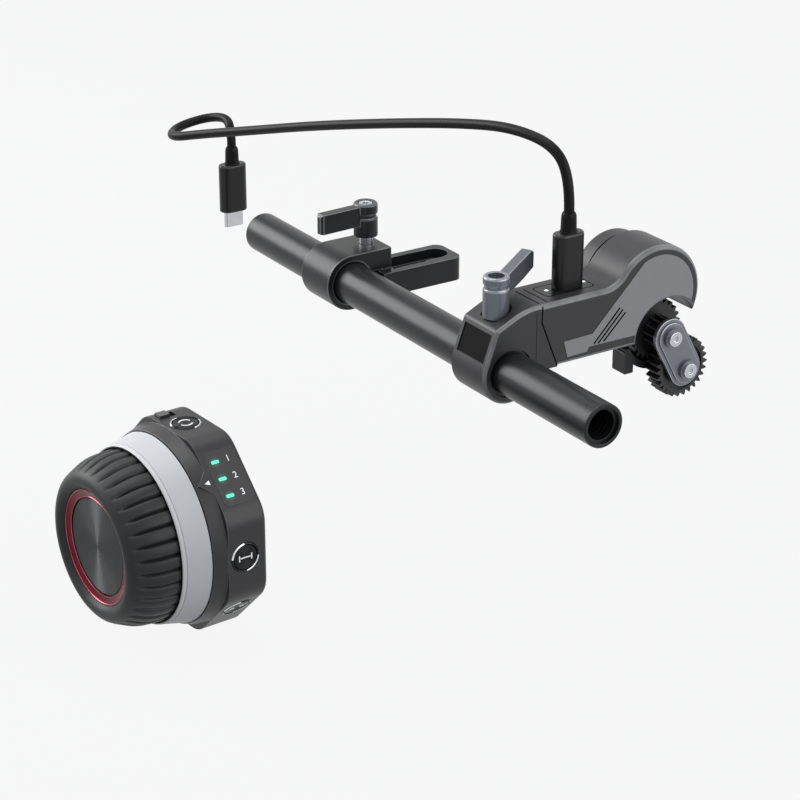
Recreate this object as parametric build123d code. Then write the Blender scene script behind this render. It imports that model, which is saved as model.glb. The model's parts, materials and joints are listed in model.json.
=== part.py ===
from build123d import *
import os
from math import acos, atan2, cos, degrees, hypot, pi, radians, sin, sqrt, tan

# Follow focus unit: a rod clamp with a slotted mounting plate, a 15 mm rod, a geared motor unit
# clamped on the rod, its cable, and a hand controller with a focus knob.
# Lengths are in millimetres. While building, the rod's axis is the Y axis: the rod's front end
# is at Y = 0, the motor arm reaches toward +X and +Z is up. save() moves every node so that the
# origin is a point on the underside of the slot plate.

# ---- clearances ----
RUNNING = 0.05          # radial, shafts and rods in bores that turn or slide
LOOSE = 0.10            # radial, screws in plain holes and caps in bezels
SEAT = 0.05             # radial, parts that only drop into a seat
AIR = 0.30              # between faces that move past each other

# ---- rod ----
ROD_R = 7.5
ROD_LENGTH = 215.0
ROD_CHAMFER = 0.6
ROD_THREAD_R = 5.1      # tapping bore of an M12 thread
ROD_THREAD_DEPTH = 14.0
ROD_MOUTH_R = 6.1
ROD_MOUTH_DEPTH = 1.6
ROD_BORE_R = 4.4

# ---- rear clamp and slot plate ----
COLLAR_R = 10.5
COLLAR_Y0 = 150.0
COLLAR_Y1 = 168.5
COLLAR_CHAMFER = 0.6
JAW_X1 = 17.0
SLIT_Z0 = 1.7
SLIT_Z1 = 2.5
LOWER_JAW_Z0 = -2.5
PLATE_X0 = 11.0
PLATE_X1 = 45.5
PLATE_Y0 = 145.5
PLATE_Y1 = 162.0
PLATE_Z0 = -6.5
PLATE_Z1 = 2.5
PLATE_CORNER_R = 3.5
SLOT_Y = 154.2
SLOT_X0 = 22.0          # through slot for a quarter-inch camera screw
SLOT_X1 = 41.7
SLOT_R = 3.3
RECESS_X1 = 43.4        # wider recess that lets the screw head down
RECESS_R = 4.75
RECESS_FLOOR_Z = -1.5
STEP_X1 = 31.5
STEP_Y0 = 148.5
PLATE_SCREW_X = 13.7
PLATE_SCREW_Y = 153.0
PLATE_SCREW_R = 1.5
PLATE_SCREW_HEAD_R = 2.6
PLATE_SCREW_HEAD_H = 1.7

# ---- clamping levers ----
STUD_R = 2.5
SPLINE_SIDES = 12
SPLINE_APOTHEM = 2.9
LIFT = 3.0              # travel that frees the handle from the spline
SPLINE_H = LIFT
SOCKET_SPARE = 1.1
SOCKET_H = SPLINE_H + SOCKET_SPARE
WEB_H = 1.2
HUB_R = 4.45
HUB_CHAMFER = 0.5
CHAMBER_R = 2.85
LEVER_SCREW_R = 1.5
LEVER_SCREW_HEAD_R = 2.55
LEVER_SCREW_HEAD_H = 2.2
LEVER_SCREW_BITE = 5.0
HEX_R = 1.5
HEX_DEPTH = 1.2
SPRING_R = 2.1
SPRING_WIRE_R = 0.45
SPRING_TURNS = 6
ARM_THICKNESS = 4.0
ARM_ROOT_FILLET = 3.0
ARM_EDGE = 0.5
WAIST_R = 0.9

REAR_LEVER_X = 11.5
REAR_LEVER_Y = 159.0
REAR_STUD_Z0 = -5.0
REAR_HUB_Z0 = 13.5
REAR_HUB_Z1 = 26.2
REAR_HEAD_DROP = 0.3
REAR_WAIST_Z = 21.4
REAR_ARM_ANGLE = 183.0
REAR_ARM_LENGTH = 20.6
REAR_ARM_SIDE = [(0.0, 17.9), (20.6, 17.9), (20.6, 24.6), (19.8, 25.4), (0.0, 25.4)]

FRONT_LEVER_Y = 60.0
FRONT_HUB_Z0 = 17.3
FRONT_HUB_Z1 = 31.8
FRONT_HEAD_DROP = 2.5
FRONT_WAIST_Z = 28.0
FRONT_ARM_ANGLE = 29.0
FRONT_ARM_LENGTH = 25.8
FRONT_ARM_SIDE = [
    (0.0, 23.6),
    (8.0, 23.7),
    (17.1, 25.0),
    (25.8, 26.9),
    (25.8, 31.4),
    (23.3, 33.3),
    (6.5, 30.6),
    (0.0, 29.6),
]

# ---- axis of the drive gear; the hood, the barrel and the arm follow it ----
DRIVE_X = 66.0
DRIVE_Z = -1.0

# ---- motor unit: outline of the clamp and body, in the XZ plane ----
MOTOR_Y0 = 50.5
CLAMP_Y1 = 69.5
CLAMP_R = 11.0
CLAMP_LEAN = 20.0       # degrees, left side of the clamp from upright
CLAMP_CORNER_Z = 16.0
CLAMP_TOP_ANGLE = 25.0  # degrees, sloping shoulder
CLAMP_SHOULDER_R = 24.0
CLAMP_CORNER_R = 2.0
CLAMP_RECESS_R = 5.3
CLAMP_MOUTH_R = 8.5
CLAMP_MOUTH_DEPTH = 1.0
CLAMP_EDGE = 1.4
CHEEK_Z = 9.5           # shallow field sunk into the leaning side of the clamp
CHEEK_Y = 60.4
CHEEK_W = 15.4
CHEEK_H = 10.0
CHEEK_DEPTH = 0.35
BODY_TOP_Z = 21.4
BODY_BOTTOM_Z = -1.8
SEAM_TOP_X = 12.4
SEAM_KNEE_X = 12.1
SEAM_KNEE_Z = 15.4
SEAM_FOOT_X = 19.0
HOOD_X = DRIVE_X - 5.1
HOOD_Z = 14.1
HOOD_R = 18.4
HOOD_BLEND_R = 10.0
HOOD_Y1 = 66.5
BODY_WALL = 1.8
BODY_EDGE = 1.9
COVER_Y1 = HOOD_Y1 + 2.5

# ---- motor barrel, motor and gearbox ----
BARREL_X = HOOD_X + 0.5
BARREL_Z = 15.0
BARREL_R = 15.5
BARREL_Y1 = COVER_Y1 + 10.5
BARREL_WALL = 2.1
BARREL_EDGE = 2.0
BARREL_GROOVES = 3
BARREL_GROOVE_PITCH = 1.3
BARREL_GROOVE_W = 0.6
BARREL_GROOVE_DEPTH = 0.6
BARREL_GROOVE_Y0 = COVER_Y1 + 0.4
CAN_R = BARREL_R - BARREL_WALL
CAN_Y0 = 64.0
CAN_Y1 = BARREL_Y1 - 1.9
CAN_STEP_Y = HOOD_Y1 + 1.0  # in front of this the motor is notched round the output boss
GEARBOX_R = 11.2
GEARBOX_Y0 = 53.5

# ---- pad, clamp bolts, screws ----
PAD_R = 3.0
PAD_Z1 = 9.6
CLAMP_BOLT_Z = 7.5
CLAMP_BOLT_YS = (56.0, 63.0)
CLAMP_BOLT_R = 1.5
CLAMP_BOLT_HEAD_R = 2.4
CLAMP_BOLT_HEAD_H = 2.0
CLAMP_BOLT_X0 = 10.0
CLAMP_BOLT_SEAT_X = 18.5
BOLT_SEAT_HALF = 4.0
COVER_SCREW_R = 1.0
COVER_SCREW_HEAD_R = 1.9
COVER_SCREW_HEAD_H = 1.0
COVER_SCREW_Y0 = 58.0
POST_R = 2.2
POSTS = [(23.5, 2.4), (46.5, 2.4), (17.2, 17.2), (42.3, 17.9)]
BASE_SCREW_X = 28.5
BASE_SCREW_Y = 60.0
BASE_SCREW_R = 1.5
BASE_SCREW_HEAD_R = 2.85
BASE_SCREW_HEAD_H = 1.6
BASE_SCREW_PITCH = 10.4
BASE_SCREW_SMALL = 0.62  # second screw's head, as a share of the first
BASE_SCREW_LENGTH = 5.0
BASE_BOSS_R = 3.2

# ---- accent plate, top panel, electronics ----
ACCENT_ARC_R = 15.3
ACCENT_DRIVE_R = 14.6
ACCENT_T = 0.6
ACCENT_PROUD = 0.15
ACCENT_SHOULDER = (33.2, 6.9)
ACCENT_CREST = (HOOD_X - 6.3, HOOD_Z + 14.0)
ACCENT_OUTLINE = [
    (21.3, 6.6),
    ACCENT_SHOULDER,
    ACCENT_CREST,
    (HOOD_X, HOOD_Z),
    (HOOD_X - 8.9, 2.3),
    (32.0, 2.5),
    (31.1, 0.9),
    (23.0, 0.7),
]
ACCENT_SLASHES = [((34.1, 3.2), (44.4, 13.7)), ((35.9, 3.0), (45.7, 12.8)), ((38.2, 3.2), (46.8, 11.5))]
ACCENT_SLASH_W = 0.7
PANEL_X0 = 18.3
PANEL_X1 = 38.2
PANEL_Y0 = 56.2
PANEL_Y1 = 65.4
PANEL_T = 0.8
PANEL_CORNER_R = 1.4
LIGHT_XS = (21.6, 37.0)
LIGHT_Y = 61.4
LIGHT_R = 0.7
BOARD_X0 = 19.6
BOARD_X1 = 44.0
BOARD_Y0 = 53.0
BOARD_Y1 = 65.4
BOARD_Z1 = 13.9
BOARD_T = 1.2
RIB_XS = (27.0, 41.0)
RIB_T = 1.2

# ---- plugs and sockets ----
PLUG_X = 29.5
PLUG_Y = 60.5
PLUG_W = 11.5
PLUG_D = 6.5
PLUG_H = 19.6
PLUG_EDGE = 0.5
RELIEF_R = 2.8
RELIEF_H = 7.0
SHELL_W = 8.25
SHELL_D = 2.4
SHELL_L = 6.5
SHELL_WALL = 0.3
SOCKET_WALL = 0.35
SOCKET_FLOOR = 0.4
PORT_GAP = 0.2
FAR_PLUG_X = 13.4
FAR_PLUG_Y = 262.1
FAR_PLUG_Z0 = -7.6
CABLE_R = 1.8
CABLE_BEND = 0.45       # share of the shorter run that each arc takes
CABLE_ROUTE = [
    (PLUG_X, PLUG_Y, BODY_TOP_Z + PLUG_H + RELIEF_H),
    (29.5, 60.5, 58.6),
    (28.6, 67.4, 68.9),
    (25.0, 87.0, 70.9),
    (21.5, 112.0, 66.5),
    (15.5, 148.0, 58.1),
    (8.8, 190.0, 47.3),
    (2.4, 228.0, 36.4),
    (-3.5, 253.6, 29.4),
    (-9.8, 271.0, 24.3),
    (-0.4, 282.0, 24.2),
    (11.8, 280.2, 26.6),
    (15.6, 269.6, 28.9),
    (13.4, 262.1, 25.8),
    (FAR_PLUG_X, FAR_PLUG_Y, FAR_PLUG_Z0 + PLUG_H + RELIEF_H),
]

# ---- gear train ----
GEAR_MODULE = 0.8
PRESSURE_ANGLE = 25.0
ADDENDUM = 0.9          # in modules
DEDENDUM = 1.2          # in modules
FLANK_THINNING = 0.06   # taken off each flank, half the backlash of one gear
FLANK_STEPS = 5
PINION_TEETH = 12
RIM_TEETH = 26
IDLER_TEETH = 26
IDLER_ANGLE = -61.8     # degrees, from the drive axis to the idler axis
GEAR_Y0 = 50.5
PINION_Y1 = 57.2
RIM_Y0 = 57.5
RIM_Y1 = 61.5
NECK_R = 4.0
IDLER_Y1 = 57.0
IDLER_GROOVE_R0 = 5.4
IDLER_GROOVE_R1 = 8.5
IDLER_GROOVE_DEPTH = 1.0
AXLE_R = 2.0
DRIVE_AXLE_Y1 = 58.0
OUTPUT_SHAFT_R = 3.0
OUTPUT_SHAFT_Y1 = 66.2
GUARD_R = 13.2          # concave edge of the hood round the drive axis

# ---- output boss and bearings ----
BOSS_R = 6.0
BOSS_Y0 = 61.9
BOSS_BORE_R = 5.0
BOSS_BORE_Y1 = 66.4
SHOULDER_R = 8.0
SHOULDER_Y0 = 64.3
BEARING_W = 2.0
BEARING_YS = (62.2, 64.4)
COVER_BOSS_R = 10.0

# ---- swing arm and link plate ----
RING_Y0 = 62.0
RING_Y1 = 64.0
RING_R = 9.0
RIM_WALL_R0 = 12.0
RIM_WALL_R1 = 14.5
RIM_WALL_FROM = -155.0
RIM_WALL_TO = -78.0
RIM_WALL_Y0 = 57.5
IDLER_BOSS_R = 3.6
IDLER_BOSS_Y0 = 57.2
TAB_X0 = DRIVE_X - 12.7
TAB_X1 = TAB_X0 + 3.7
TAB_Z0 = -15.6
TAB_Z1 = -6.0
TAB_Y1 = 64.5
TAB_EDGE = 0.6
LINK_R = 6.5
LINK_Y0 = 48.7
LINK_Y1 = 50.2
LINK_STEP_R = 5.2
LINK_STEP_Y0 = 48.0
LINK_EDGE = 0.3
LINK_BOSS_R = 3.5
LINK_BOSS_Y0 = 46.9
LINK_SCREW_R = 1.2
LINK_SCREW_Y1 = 53.5
LINK_HEAD_R = 2.65
LINK_HEAD_H = 1.2
LINK_HEX_R = 1.2
LINK_HEX_DEPTH = 0.8

# ---- hand controller: its axis runs along X ----
CONTROL_X = -109.0      # front plane of the marking ring
CONTROL_Y = 115.3
CONTROL_Z = -57.5
CONTROL_YAW = 3.5       # degrees, the unit stands turned about the vertical
RING_DEPTH = 10.2
RING_GAP = 0.5          # between the knob's skirt and the marking ring
RING_LIP = 0.7
RING_FLARE = 2.4
RING_LIP_DEPTH = 4.0
RING_HUB_STEP = 3.7
FLANGE_STEP = 0.4       # the flange stands out beyond the marking ring
FLANGE_FLARE = 1.5
FLANGE_X0 = RING_DEPTH
HOUSING_X0 = 15.0
HOUSING_X1 = 30.4
CORNER_R = 11.0
HOUSING_EDGE = 1.6
HOUSING_WALL = 2.5
INDEX_X0 = 10.8         # tip of the pointed index ridge
INDEX_HALF_W = 4.2
INDEX_DEPTH = 2.0
FRONT_WALL_X1 = 12.5
BACK_T = 2.2
HUB_BORE_R = 9.5
HUB_TUBE_R = 11.5
HUB_TUBE_X1 = 22.5
CORNER_POST_R = 3.0
CORNER_POST_OFFSET = 21.0
BACK_SCREW_R = 1.0
BACK_SCREW_HEAD_R = 1.9
BACK_SCREW_HEAD_H = 1.2
BACK_SCREW_X0 = 18.0

KNOB_SHAFT_R = 5.0
KNOB_BEARING_XS = (11.0, 17.4)
KNOB_BEARING_W = 4.0
KNOB_SHAFT_X1 = KNOB_BEARING_XS[1] + KNOB_BEARING_W
CORE_R = 25.0
CORE_X0 = -13.4
CORE_X1 = 1.0
CORE_WALL = 2.0
GRIP_BACK_R = 30.2
GRIP_X1 = 2.0
GRIP_SIDE = [           # X, and how far the side lies inside the back's radius there
    (-15.8, 4.3),
    (-13.0, 2.5),
    (-9.0, 0.9),
    (-4.0, 0.0),
]
GRIP_RIM_DROP = 6.3
GRIP_RIM_X = -17.0
GRIP_RIM_W = 1.6        # flat front rim beside the mouth's chamfer
GRIP_MOUTH_R = 20.3
GRIP_MOUTH_X = -15.0
GRIP_RIBS = 36
GRIP_GROOVE_W = 1.3
GRIP_GROOVE_DEPTH = 0.8
GRIP_GROOVE_SETBACK = 0.5
RED_RING_R0 = 17.3
RED_RING_X0 = GRIP_MOUTH_X
CAP_X0 = -14.2
RING_INNER_R = GRIP_BACK_R + RING_GAP
RING_FRONT_R = RING_INNER_R + RING_LIP
RING_BACK_R = RING_FRONT_R + RING_FLARE
RING_HUB_R = RING_INNER_R - RING_HUB_STEP
FLANGE_FRONT_R = RING_BACK_R + FLANGE_STEP
FLANGE_R = FLANGE_FRONT_R + FLANGE_FLARE
APOTHEM = FLANGE_R      # the housing's flat sides line up with the flange

FACET_ANGLES = {"mode_button": 90.0, "cal_button": 0.0, "trim_button": -45.0}
BUTTON_X = {"mode_button": 22.1, "cal_button": 21.6, "trim_button": 22.2}
BUTTON_SHIFT = {"mode_button": 0.4, "cal_button": 0.0, "trim_button": 4.2}
BUTTON_R = 4.5
BUTTON_TRAVEL = 0.6
BUTTON_PROUD = 0.2
BUTTON_T = 3.4
BEZEL_R = 5.5
BEZEL_T = 1.0
BEZEL_PROUD = 0.3
POCKET_DEPTH = 6.0
POCKET_BOSS_R = 6.6
POCKET_FLOOR_T = 1.2
SWITCH_R = 2.5
LIGHT_PANEL_X = 22.8
LIGHT_PANEL_W = 12.0
LIGHT_PANEL_L = 19.8
LIGHT_PANEL_T = 0.6
LIGHT_PANEL_CORNER = 2.4
PANEL_FACET = 45.0
INDICATORS = 3
INDICATOR_PITCH = 6.25
INDICATOR_W = 2.9
INDICATOR_L = 1.1
INDICATOR_T = 0.3
INDICATOR_SHIFT = -2.6
POWER_FACET = 90.0
POWER_X = 20.0
POWER_SHIFT = 10.0
POWER_TRAVEL = 2.5
POWER_W = 4.0
POWER_L = 3.6
POWER_H = 1.0
POWER_SLOT_DEPTH = 1.4
POWER_SLOT_W = POWER_W + POWER_TRAVEL + 2 * LOOSE
BOARD_R = 29.0
CONTROL_BOARD_T = 1.2
BATTERY_W = 30.0
BATTERY_H = 14.0
BATTERY_X0 = 14.0
BATTERY_Z1 = -13.0
INSERT_R = 5.0
INSERT_BORE_R = 2.55    # tapping bore of a quarter-inch thread
INSERT_X0 = 26.0

# ---- origin: underside of the slot plate, at mid-width, between the screw and the slot ----
BASE_X = (PLATE_SCREW_X + PLATE_SCREW_HEAD_R + SLOT_X0) / 2
BASE_Y = (PLATE_Y0 + PLATE_Y1) / 2
BASE_Z = PLATE_Z0


# ---- shapes ----
def bar_x(radius, x0, x1, y, z):
    return Pos((x0 + x1) / 2, y, z) * Rot(0, 90, 0) * Cylinder(radius, x1 - x0)


def bar_y(radius, y0, y1, x=0.0, z=0.0):
    return Pos(x, (y0 + y1) / 2, z) * Rot(90, 0, 0) * Cylinder(radius, y1 - y0)


def bar_z(radius, z0, z1, x, y):
    return Pos(x, y, (z0 + z1) / 2) * Cylinder(radius, z1 - z0)


def block(x0, x1, y0, y1, z0, z1):
    return Pos((x0 + x1) / 2, (y0 + y1) / 2, (z0 + z1) / 2) * Box(x1 - x0, y1 - y0, z1 - z0)


def polygon(points):
    return make_face(Polyline(*points, close=True))


def plate_x(outline, x0, x1):
    """Solid between two X values; the outline's coordinates are Y and Z."""
    return extrude(Plane.YZ.offset(x0) * outline, amount=x1 - x0)


def plate_y(outline, y0, y1):
    """Solid between two Y values; the outline's coordinates are X and Z."""
    return extrude(Plane.XZ.offset(-y1) * outline, amount=y1 - y0)


def plate_z(outline, z0, z1):
    """Solid between two Z values; the outline's coordinates are X and Y."""
    return extrude(Plane.XY.offset(z0) * outline, amount=z1 - z0)


def slot_between(start, end, radius):
    """Round-ended slot outline between two centres."""
    run_x, run_y = end[0] - start[0], end[1] - start[1]
    middle = Pos((start[0] + end[0]) / 2, (start[1] + end[1]) / 2)
    turn = Rot(0, 0, degrees(atan2(run_y, run_x)))
    return middle * turn * SlotCenterToCenter(hypot(run_x, run_y), 2 * radius)


def cheek():
    """Block that sinks the shallow field into the clamp's leaning side."""
    lean = radians(CLAMP_LEAN)
    x = -CLAMP_R * cos(lean) + (CHEEK_Z - CLAMP_R * sin(lean)) * tan(lean)
    field = Box(2 * CHEEK_DEPTH, CHEEK_W, CHEEK_H)
    return Pos(x, CHEEK_Y, CHEEK_Z) * Rot(0, CLAMP_LEAN, 0) * field


def save(name, shape):
    """Move a node from the rod's frame into the part's frame and write it."""
    export_step(Pos(-BASE_X, -BASE_Y, -BASE_Z) * shape, f"parts/{name}.step")


# ---- rod ----
def rod():
    body = bar_y(ROD_R, 0, ROD_LENGTH)
    body = chamfer(body.edges().filter_by(GeomType.CIRCLE), ROD_CHAMFER)
    body -= bar_y(ROD_BORE_R, 0, ROD_LENGTH)
    for end, inward in ((0.0, 1), (ROD_LENGTH, -1)):
        thread = sorted((end, end + inward * ROD_THREAD_DEPTH))
        mouth = sorted((end, end + inward * ROD_MOUTH_DEPTH))
        body -= bar_y(ROD_THREAD_R, *thread)
        body -= bar_y(ROD_MOUTH_R, *mouth)
    return body


# ---- rear clamp and slot plate ----
def rear_clamp():
    collar = bar_y(COLLAR_R, COLLAR_Y0, COLLAR_Y1)
    collar += block(0, JAW_X1, COLLAR_Y0, COLLAR_Y1, SLIT_Z1, COLLAR_R)
    collar += block(0, JAW_X1, COLLAR_Y0, COLLAR_Y1, LOWER_JAW_Z0, SLIT_Z0)
    collar -= block(0, JAW_X1, COLLAR_Y0, COLLAR_Y1, SLIT_Z0, SLIT_Z1)
    collar -= bar_y(ROD_R + RUNNING, COLLAR_Y0, COLLAR_Y1)
    for y in (COLLAR_Y0, COLLAR_Y1):
        flare = Cone(ROD_R + RUNNING, ROD_R + RUNNING + COLLAR_CHAMFER, COLLAR_CHAMFER)
        turn = Rot(90, 0, 0) if y == COLLAR_Y0 else Rot(-90, 0, 0)
        inset = COLLAR_CHAMFER / 2 if y == COLLAR_Y0 else -COLLAR_CHAMFER / 2
        collar -= Pos(0, y + inset, 0) * turn * flare
    collar -= bar_z(STUD_R + LOOSE, REAR_STUD_Z0 - LOOSE, COLLAR_R, REAR_LEVER_X, REAR_LEVER_Y)
    collar -= bar_z(PLATE_SCREW_R + SEAT, LOWER_JAW_Z0, SLIT_Z0, PLATE_SCREW_X, PLATE_SCREW_Y)
    return collar


def slot_plate():
    centre = Pos((PLATE_X0 + PLATE_X1) / 2, (PLATE_Y0 + PLATE_Y1) / 2)
    outline = centre * Rectangle(PLATE_X1 - PLATE_X0, PLATE_Y1 - PLATE_Y0)
    corners = outline.vertices().group_by(Axis.X)[-1]
    plate = plate_z(fillet(corners, PLATE_CORNER_R), PLATE_Z0, PLATE_Z1)
    plate -= block(PLATE_X0, JAW_X1, COLLAR_Y0, PLATE_Y1, LOWER_JAW_Z0, PLATE_Z1)
    through = slot_between((SLOT_X0 + SLOT_R, SLOT_Y), (SLOT_X1 - SLOT_R, SLOT_Y), SLOT_R)
    plate -= plate_z(through, PLATE_Z0, PLATE_Z1)
    recess = slot_between((SLOT_X0, SLOT_Y), (RECESS_X1 - RECESS_R, SLOT_Y), RECESS_R)
    plate -= plate_z(recess, RECESS_FLOOR_Z, PLATE_Z1)
    plate -= block(JAW_X1, STEP_X1, STEP_Y0, SLOT_Y + RECESS_R, RECESS_FLOOR_Z, PLATE_Z1)
    plate -= bar_z(STUD_R + LOOSE, REAR_STUD_Z0 - LOOSE, LOWER_JAW_Z0, REAR_LEVER_X, REAR_LEVER_Y)
    plate -= bar_z(PLATE_SCREW_R + LOOSE, PLATE_Z0, LOWER_JAW_Z0, PLATE_SCREW_X, PLATE_SCREW_Y)
    head_top = PLATE_Z0 + PLATE_SCREW_HEAD_H
    plate -= bar_z(PLATE_SCREW_HEAD_R + LOOSE, PLATE_Z0, head_top, PLATE_SCREW_X, PLATE_SCREW_Y)
    return plate


def plate_screw():
    head_top = PLATE_Z0 + PLATE_SCREW_HEAD_H
    screw = bar_z(PLATE_SCREW_HEAD_R, PLATE_Z0 + AIR, head_top, PLATE_SCREW_X, PLATE_SCREW_Y)
    screw += bar_z(PLATE_SCREW_R, head_top, SLIT_Z0 - AIR, PLATE_SCREW_X, PLATE_SCREW_Y)
    hexagon = Pos(PLATE_SCREW_X, PLATE_SCREW_Y) * RegularPolygon(HEX_R, 6)
    return screw - plate_z(hexagon, PLATE_Z0, PLATE_Z0 + AIR + HEX_DEPTH)


# ---- clamping levers ----
def head_bottom(hub_top, drop):
    return hub_top - drop - LEVER_SCREW_HEAD_H


def lever_stud(x, y, stud_bottom, hub_bottom):
    """Clamping screw with a splined head for the handle and a tapped end for its screw."""
    spline_top = hub_bottom + SPLINE_H
    stud = bar_z(STUD_R, stud_bottom, hub_bottom, x, y)
    spline = Pos(x, y) * RegularPolygon(SPLINE_APOTHEM, SPLINE_SIDES, major_radius=False)
    stud += plate_z(spline, hub_bottom, spline_top)
    return stud - bar_z(LEVER_SCREW_R + SEAT, spline_top - LEVER_SCREW_BITE - SEAT, spline_top, x, y)


def lever_handle(x, y, hub_bottom, hub_top, waist, angle, length, side):
    """Hub with a splined socket and a spring chamber, and an arm at an angle from +X."""
    hub = bar_z(HUB_R, hub_bottom, hub_top, x, y)
    hub = chamfer(hub.edges().filter_by(GeomType.CIRCLE).sort_by(Axis.Z)[-1], HUB_CHAMFER)
    hub -= Pos(x, y, waist) * Torus(HUB_R, WAIST_R)
    plan = Circle(HUB_R - HUB_CHAMFER)
    plan += Pos(length / 2, 0) * Rectangle(length, ARM_THICKNESS)
    roots = [v for v in plan.vertices() if 0 < v.X < HUB_R]
    plan = fillet(roots, ARM_ROOT_FILLET)
    heights = [z for _, z in side]
    arm = plate_z(plan, min(heights), max(heights))
    profile = [(-HUB_R, side[0][1])] + side + [(-HUB_R, side[-1][1])]
    arm &= plate_y(polygon(profile), -HUB_R, HUB_R)
    tip = arm.edges().filter_by(Axis.Z).sort_by(Axis.X)[-2:]
    arm = chamfer(tip, 2 * ARM_EDGE)
    handle = hub + Pos(x, y, 0) * Rot(0, 0, angle) * arm
    socket = RegularPolygon(SPLINE_APOTHEM + SEAT, SPLINE_SIDES, major_radius=False)
    handle -= plate_z(Pos(x, y) * socket, hub_bottom, hub_bottom + SOCKET_H)
    handle -= bar_z(LEVER_SCREW_R + LOOSE, hub_bottom, hub_top, x, y)
    return handle - bar_z(CHAMBER_R, hub_bottom + SOCKET_H + WEB_H, hub_top, x, y)


def lever_screw(x, y, hub_bottom, hub_top, drop):
    """Socket screw that holds the handle on the stud."""
    under_head = head_bottom(hub_top, drop)
    screw = bar_z(LEVER_SCREW_HEAD_R, under_head, under_head + LEVER_SCREW_HEAD_H, x, y)
    screw += bar_z(LEVER_SCREW_R, hub_bottom + SPLINE_H - LEVER_SCREW_BITE, under_head, x, y)
    head_top = under_head + LEVER_SCREW_HEAD_H
    return screw - plate_z(Pos(x, y) * RegularPolygon(HEX_R, 6), head_top - HEX_DEPTH, head_top)


def lever_spring(x, y, hub_bottom, hub_top, drop):
    """Closed turns of the spring that pushes the handle down onto the spline."""
    low = hub_bottom + SOCKET_H + WEB_H + SPRING_WIRE_R
    high = head_bottom(hub_top, drop) - SPRING_WIRE_R
    step = (high - low) / (SPRING_TURNS - 1)
    turns = [Pos(x, y, low + i * step) * Torus(SPRING_R, SPRING_WIRE_R) for i in range(SPRING_TURNS)]
    sleeve = bar_z(SPRING_R + SPRING_WIRE_R / 2, low, high, x, y)
    sleeve -= bar_z(SPRING_R - SPRING_WIRE_R / 2, low, high, x, y)
    for turn in turns:
        sleeve += turn
    return sleeve


# ---- outlines of the motor unit ----
def seam_x(z):
    """X of the slanted seam between clamp and body at a height below its knee."""
    return SEAM_KNEE_X + (SEAM_KNEE_Z - z) * (SEAM_FOOT_X - SEAM_KNEE_X) / (SEAM_KNEE_Z - BODY_BOTTOM_Z)


def clamp_outline():
    touch = (-CLAMP_R * cos(radians(CLAMP_LEAN)), CLAMP_R * sin(radians(CLAMP_LEAN)))
    corner_x = touch[0] + (CLAMP_CORNER_Z - touch[1]) * tan(radians(CLAMP_LEAN))
    shoulder_x = corner_x + (BODY_TOP_Z - CLAMP_CORNER_Z) / tan(radians(CLAMP_TOP_ANGLE))
    points = [
        (0, 0),
        touch,
        (corner_x, CLAMP_CORNER_Z),
        (shoulder_x, BODY_TOP_Z),
        (SEAM_TOP_X, BODY_TOP_Z),
        (SEAM_KNEE_X, SEAM_KNEE_Z),
        (SEAM_FOOT_X, BODY_BOTTOM_Z),
        (0, BODY_BOTTOM_Z),
    ]
    head = polygon(points)
    shoulder = head.vertices().sort_by_distance((shoulder_x, BODY_TOP_Z))[0]
    head = fillet(shoulder, CLAMP_SHOULDER_R)
    corner = head.vertices().sort_by_distance((corner_x, CLAMP_CORNER_Z))[0]
    head = fillet(corner, CLAMP_CORNER_R)
    return head + Circle(CLAMP_R)


def body_outline(inset=0.0):
    """Body and hood seen along Y, every edge moved inward by the inset."""
    top, bottom = BODY_TOP_Z - inset, BODY_BOTTOM_Z + inset
    foot_x = seam_x(bottom) + inset
    long_box = polygon([
        (SEAM_TOP_X + inset, top),
        (SEAM_KNEE_X + inset, SEAM_KNEE_Z),
        (foot_x, bottom),
        (HOOD_X, bottom),
        (HOOD_X, top),
    ])
    hood = Pos(HOOD_X, HOOD_Z) * Circle(HOOD_R - inset)
    blend_r = HOOD_BLEND_R + inset
    rise = top + blend_r - HOOD_Z
    blend_x = HOOD_X - sqrt((HOOD_R - inset + blend_r) ** 2 - rise ** 2)
    web = polygon([
        (blend_x, top + blend_r),
        (HOOD_X, HOOD_Z),
        (HOOD_X, top - BODY_WALL),
        (blend_x, top - BODY_WALL),
    ])
    web -= Pos(blend_x, top + blend_r) * Circle(blend_r)
    below = Pos(HOOD_X, bottom - HOOD_R) * Rectangle(4 * HOOD_R, 2 * HOOD_R)
    guard = Pos(DRIVE_X, DRIVE_Z) * Circle(GUARD_R + inset)
    return long_box + hood + web - below - guard


def accent_outline(grow=0.0):
    arc = Pos(HOOD_X, HOOD_Z) * Circle(ACCENT_ARC_R + grow)
    crest = polygon([ACCENT_SHOULDER, ACCENT_CREST, (ACCENT_SHOULDER[0], ACCENT_CREST[1])])
    shape = polygon(ACCENT_OUTLINE) + (arc - crest)
    return shape - Pos(DRIVE_X, DRIVE_Z) * Circle(ACCENT_DRIVE_R - grow)


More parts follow.
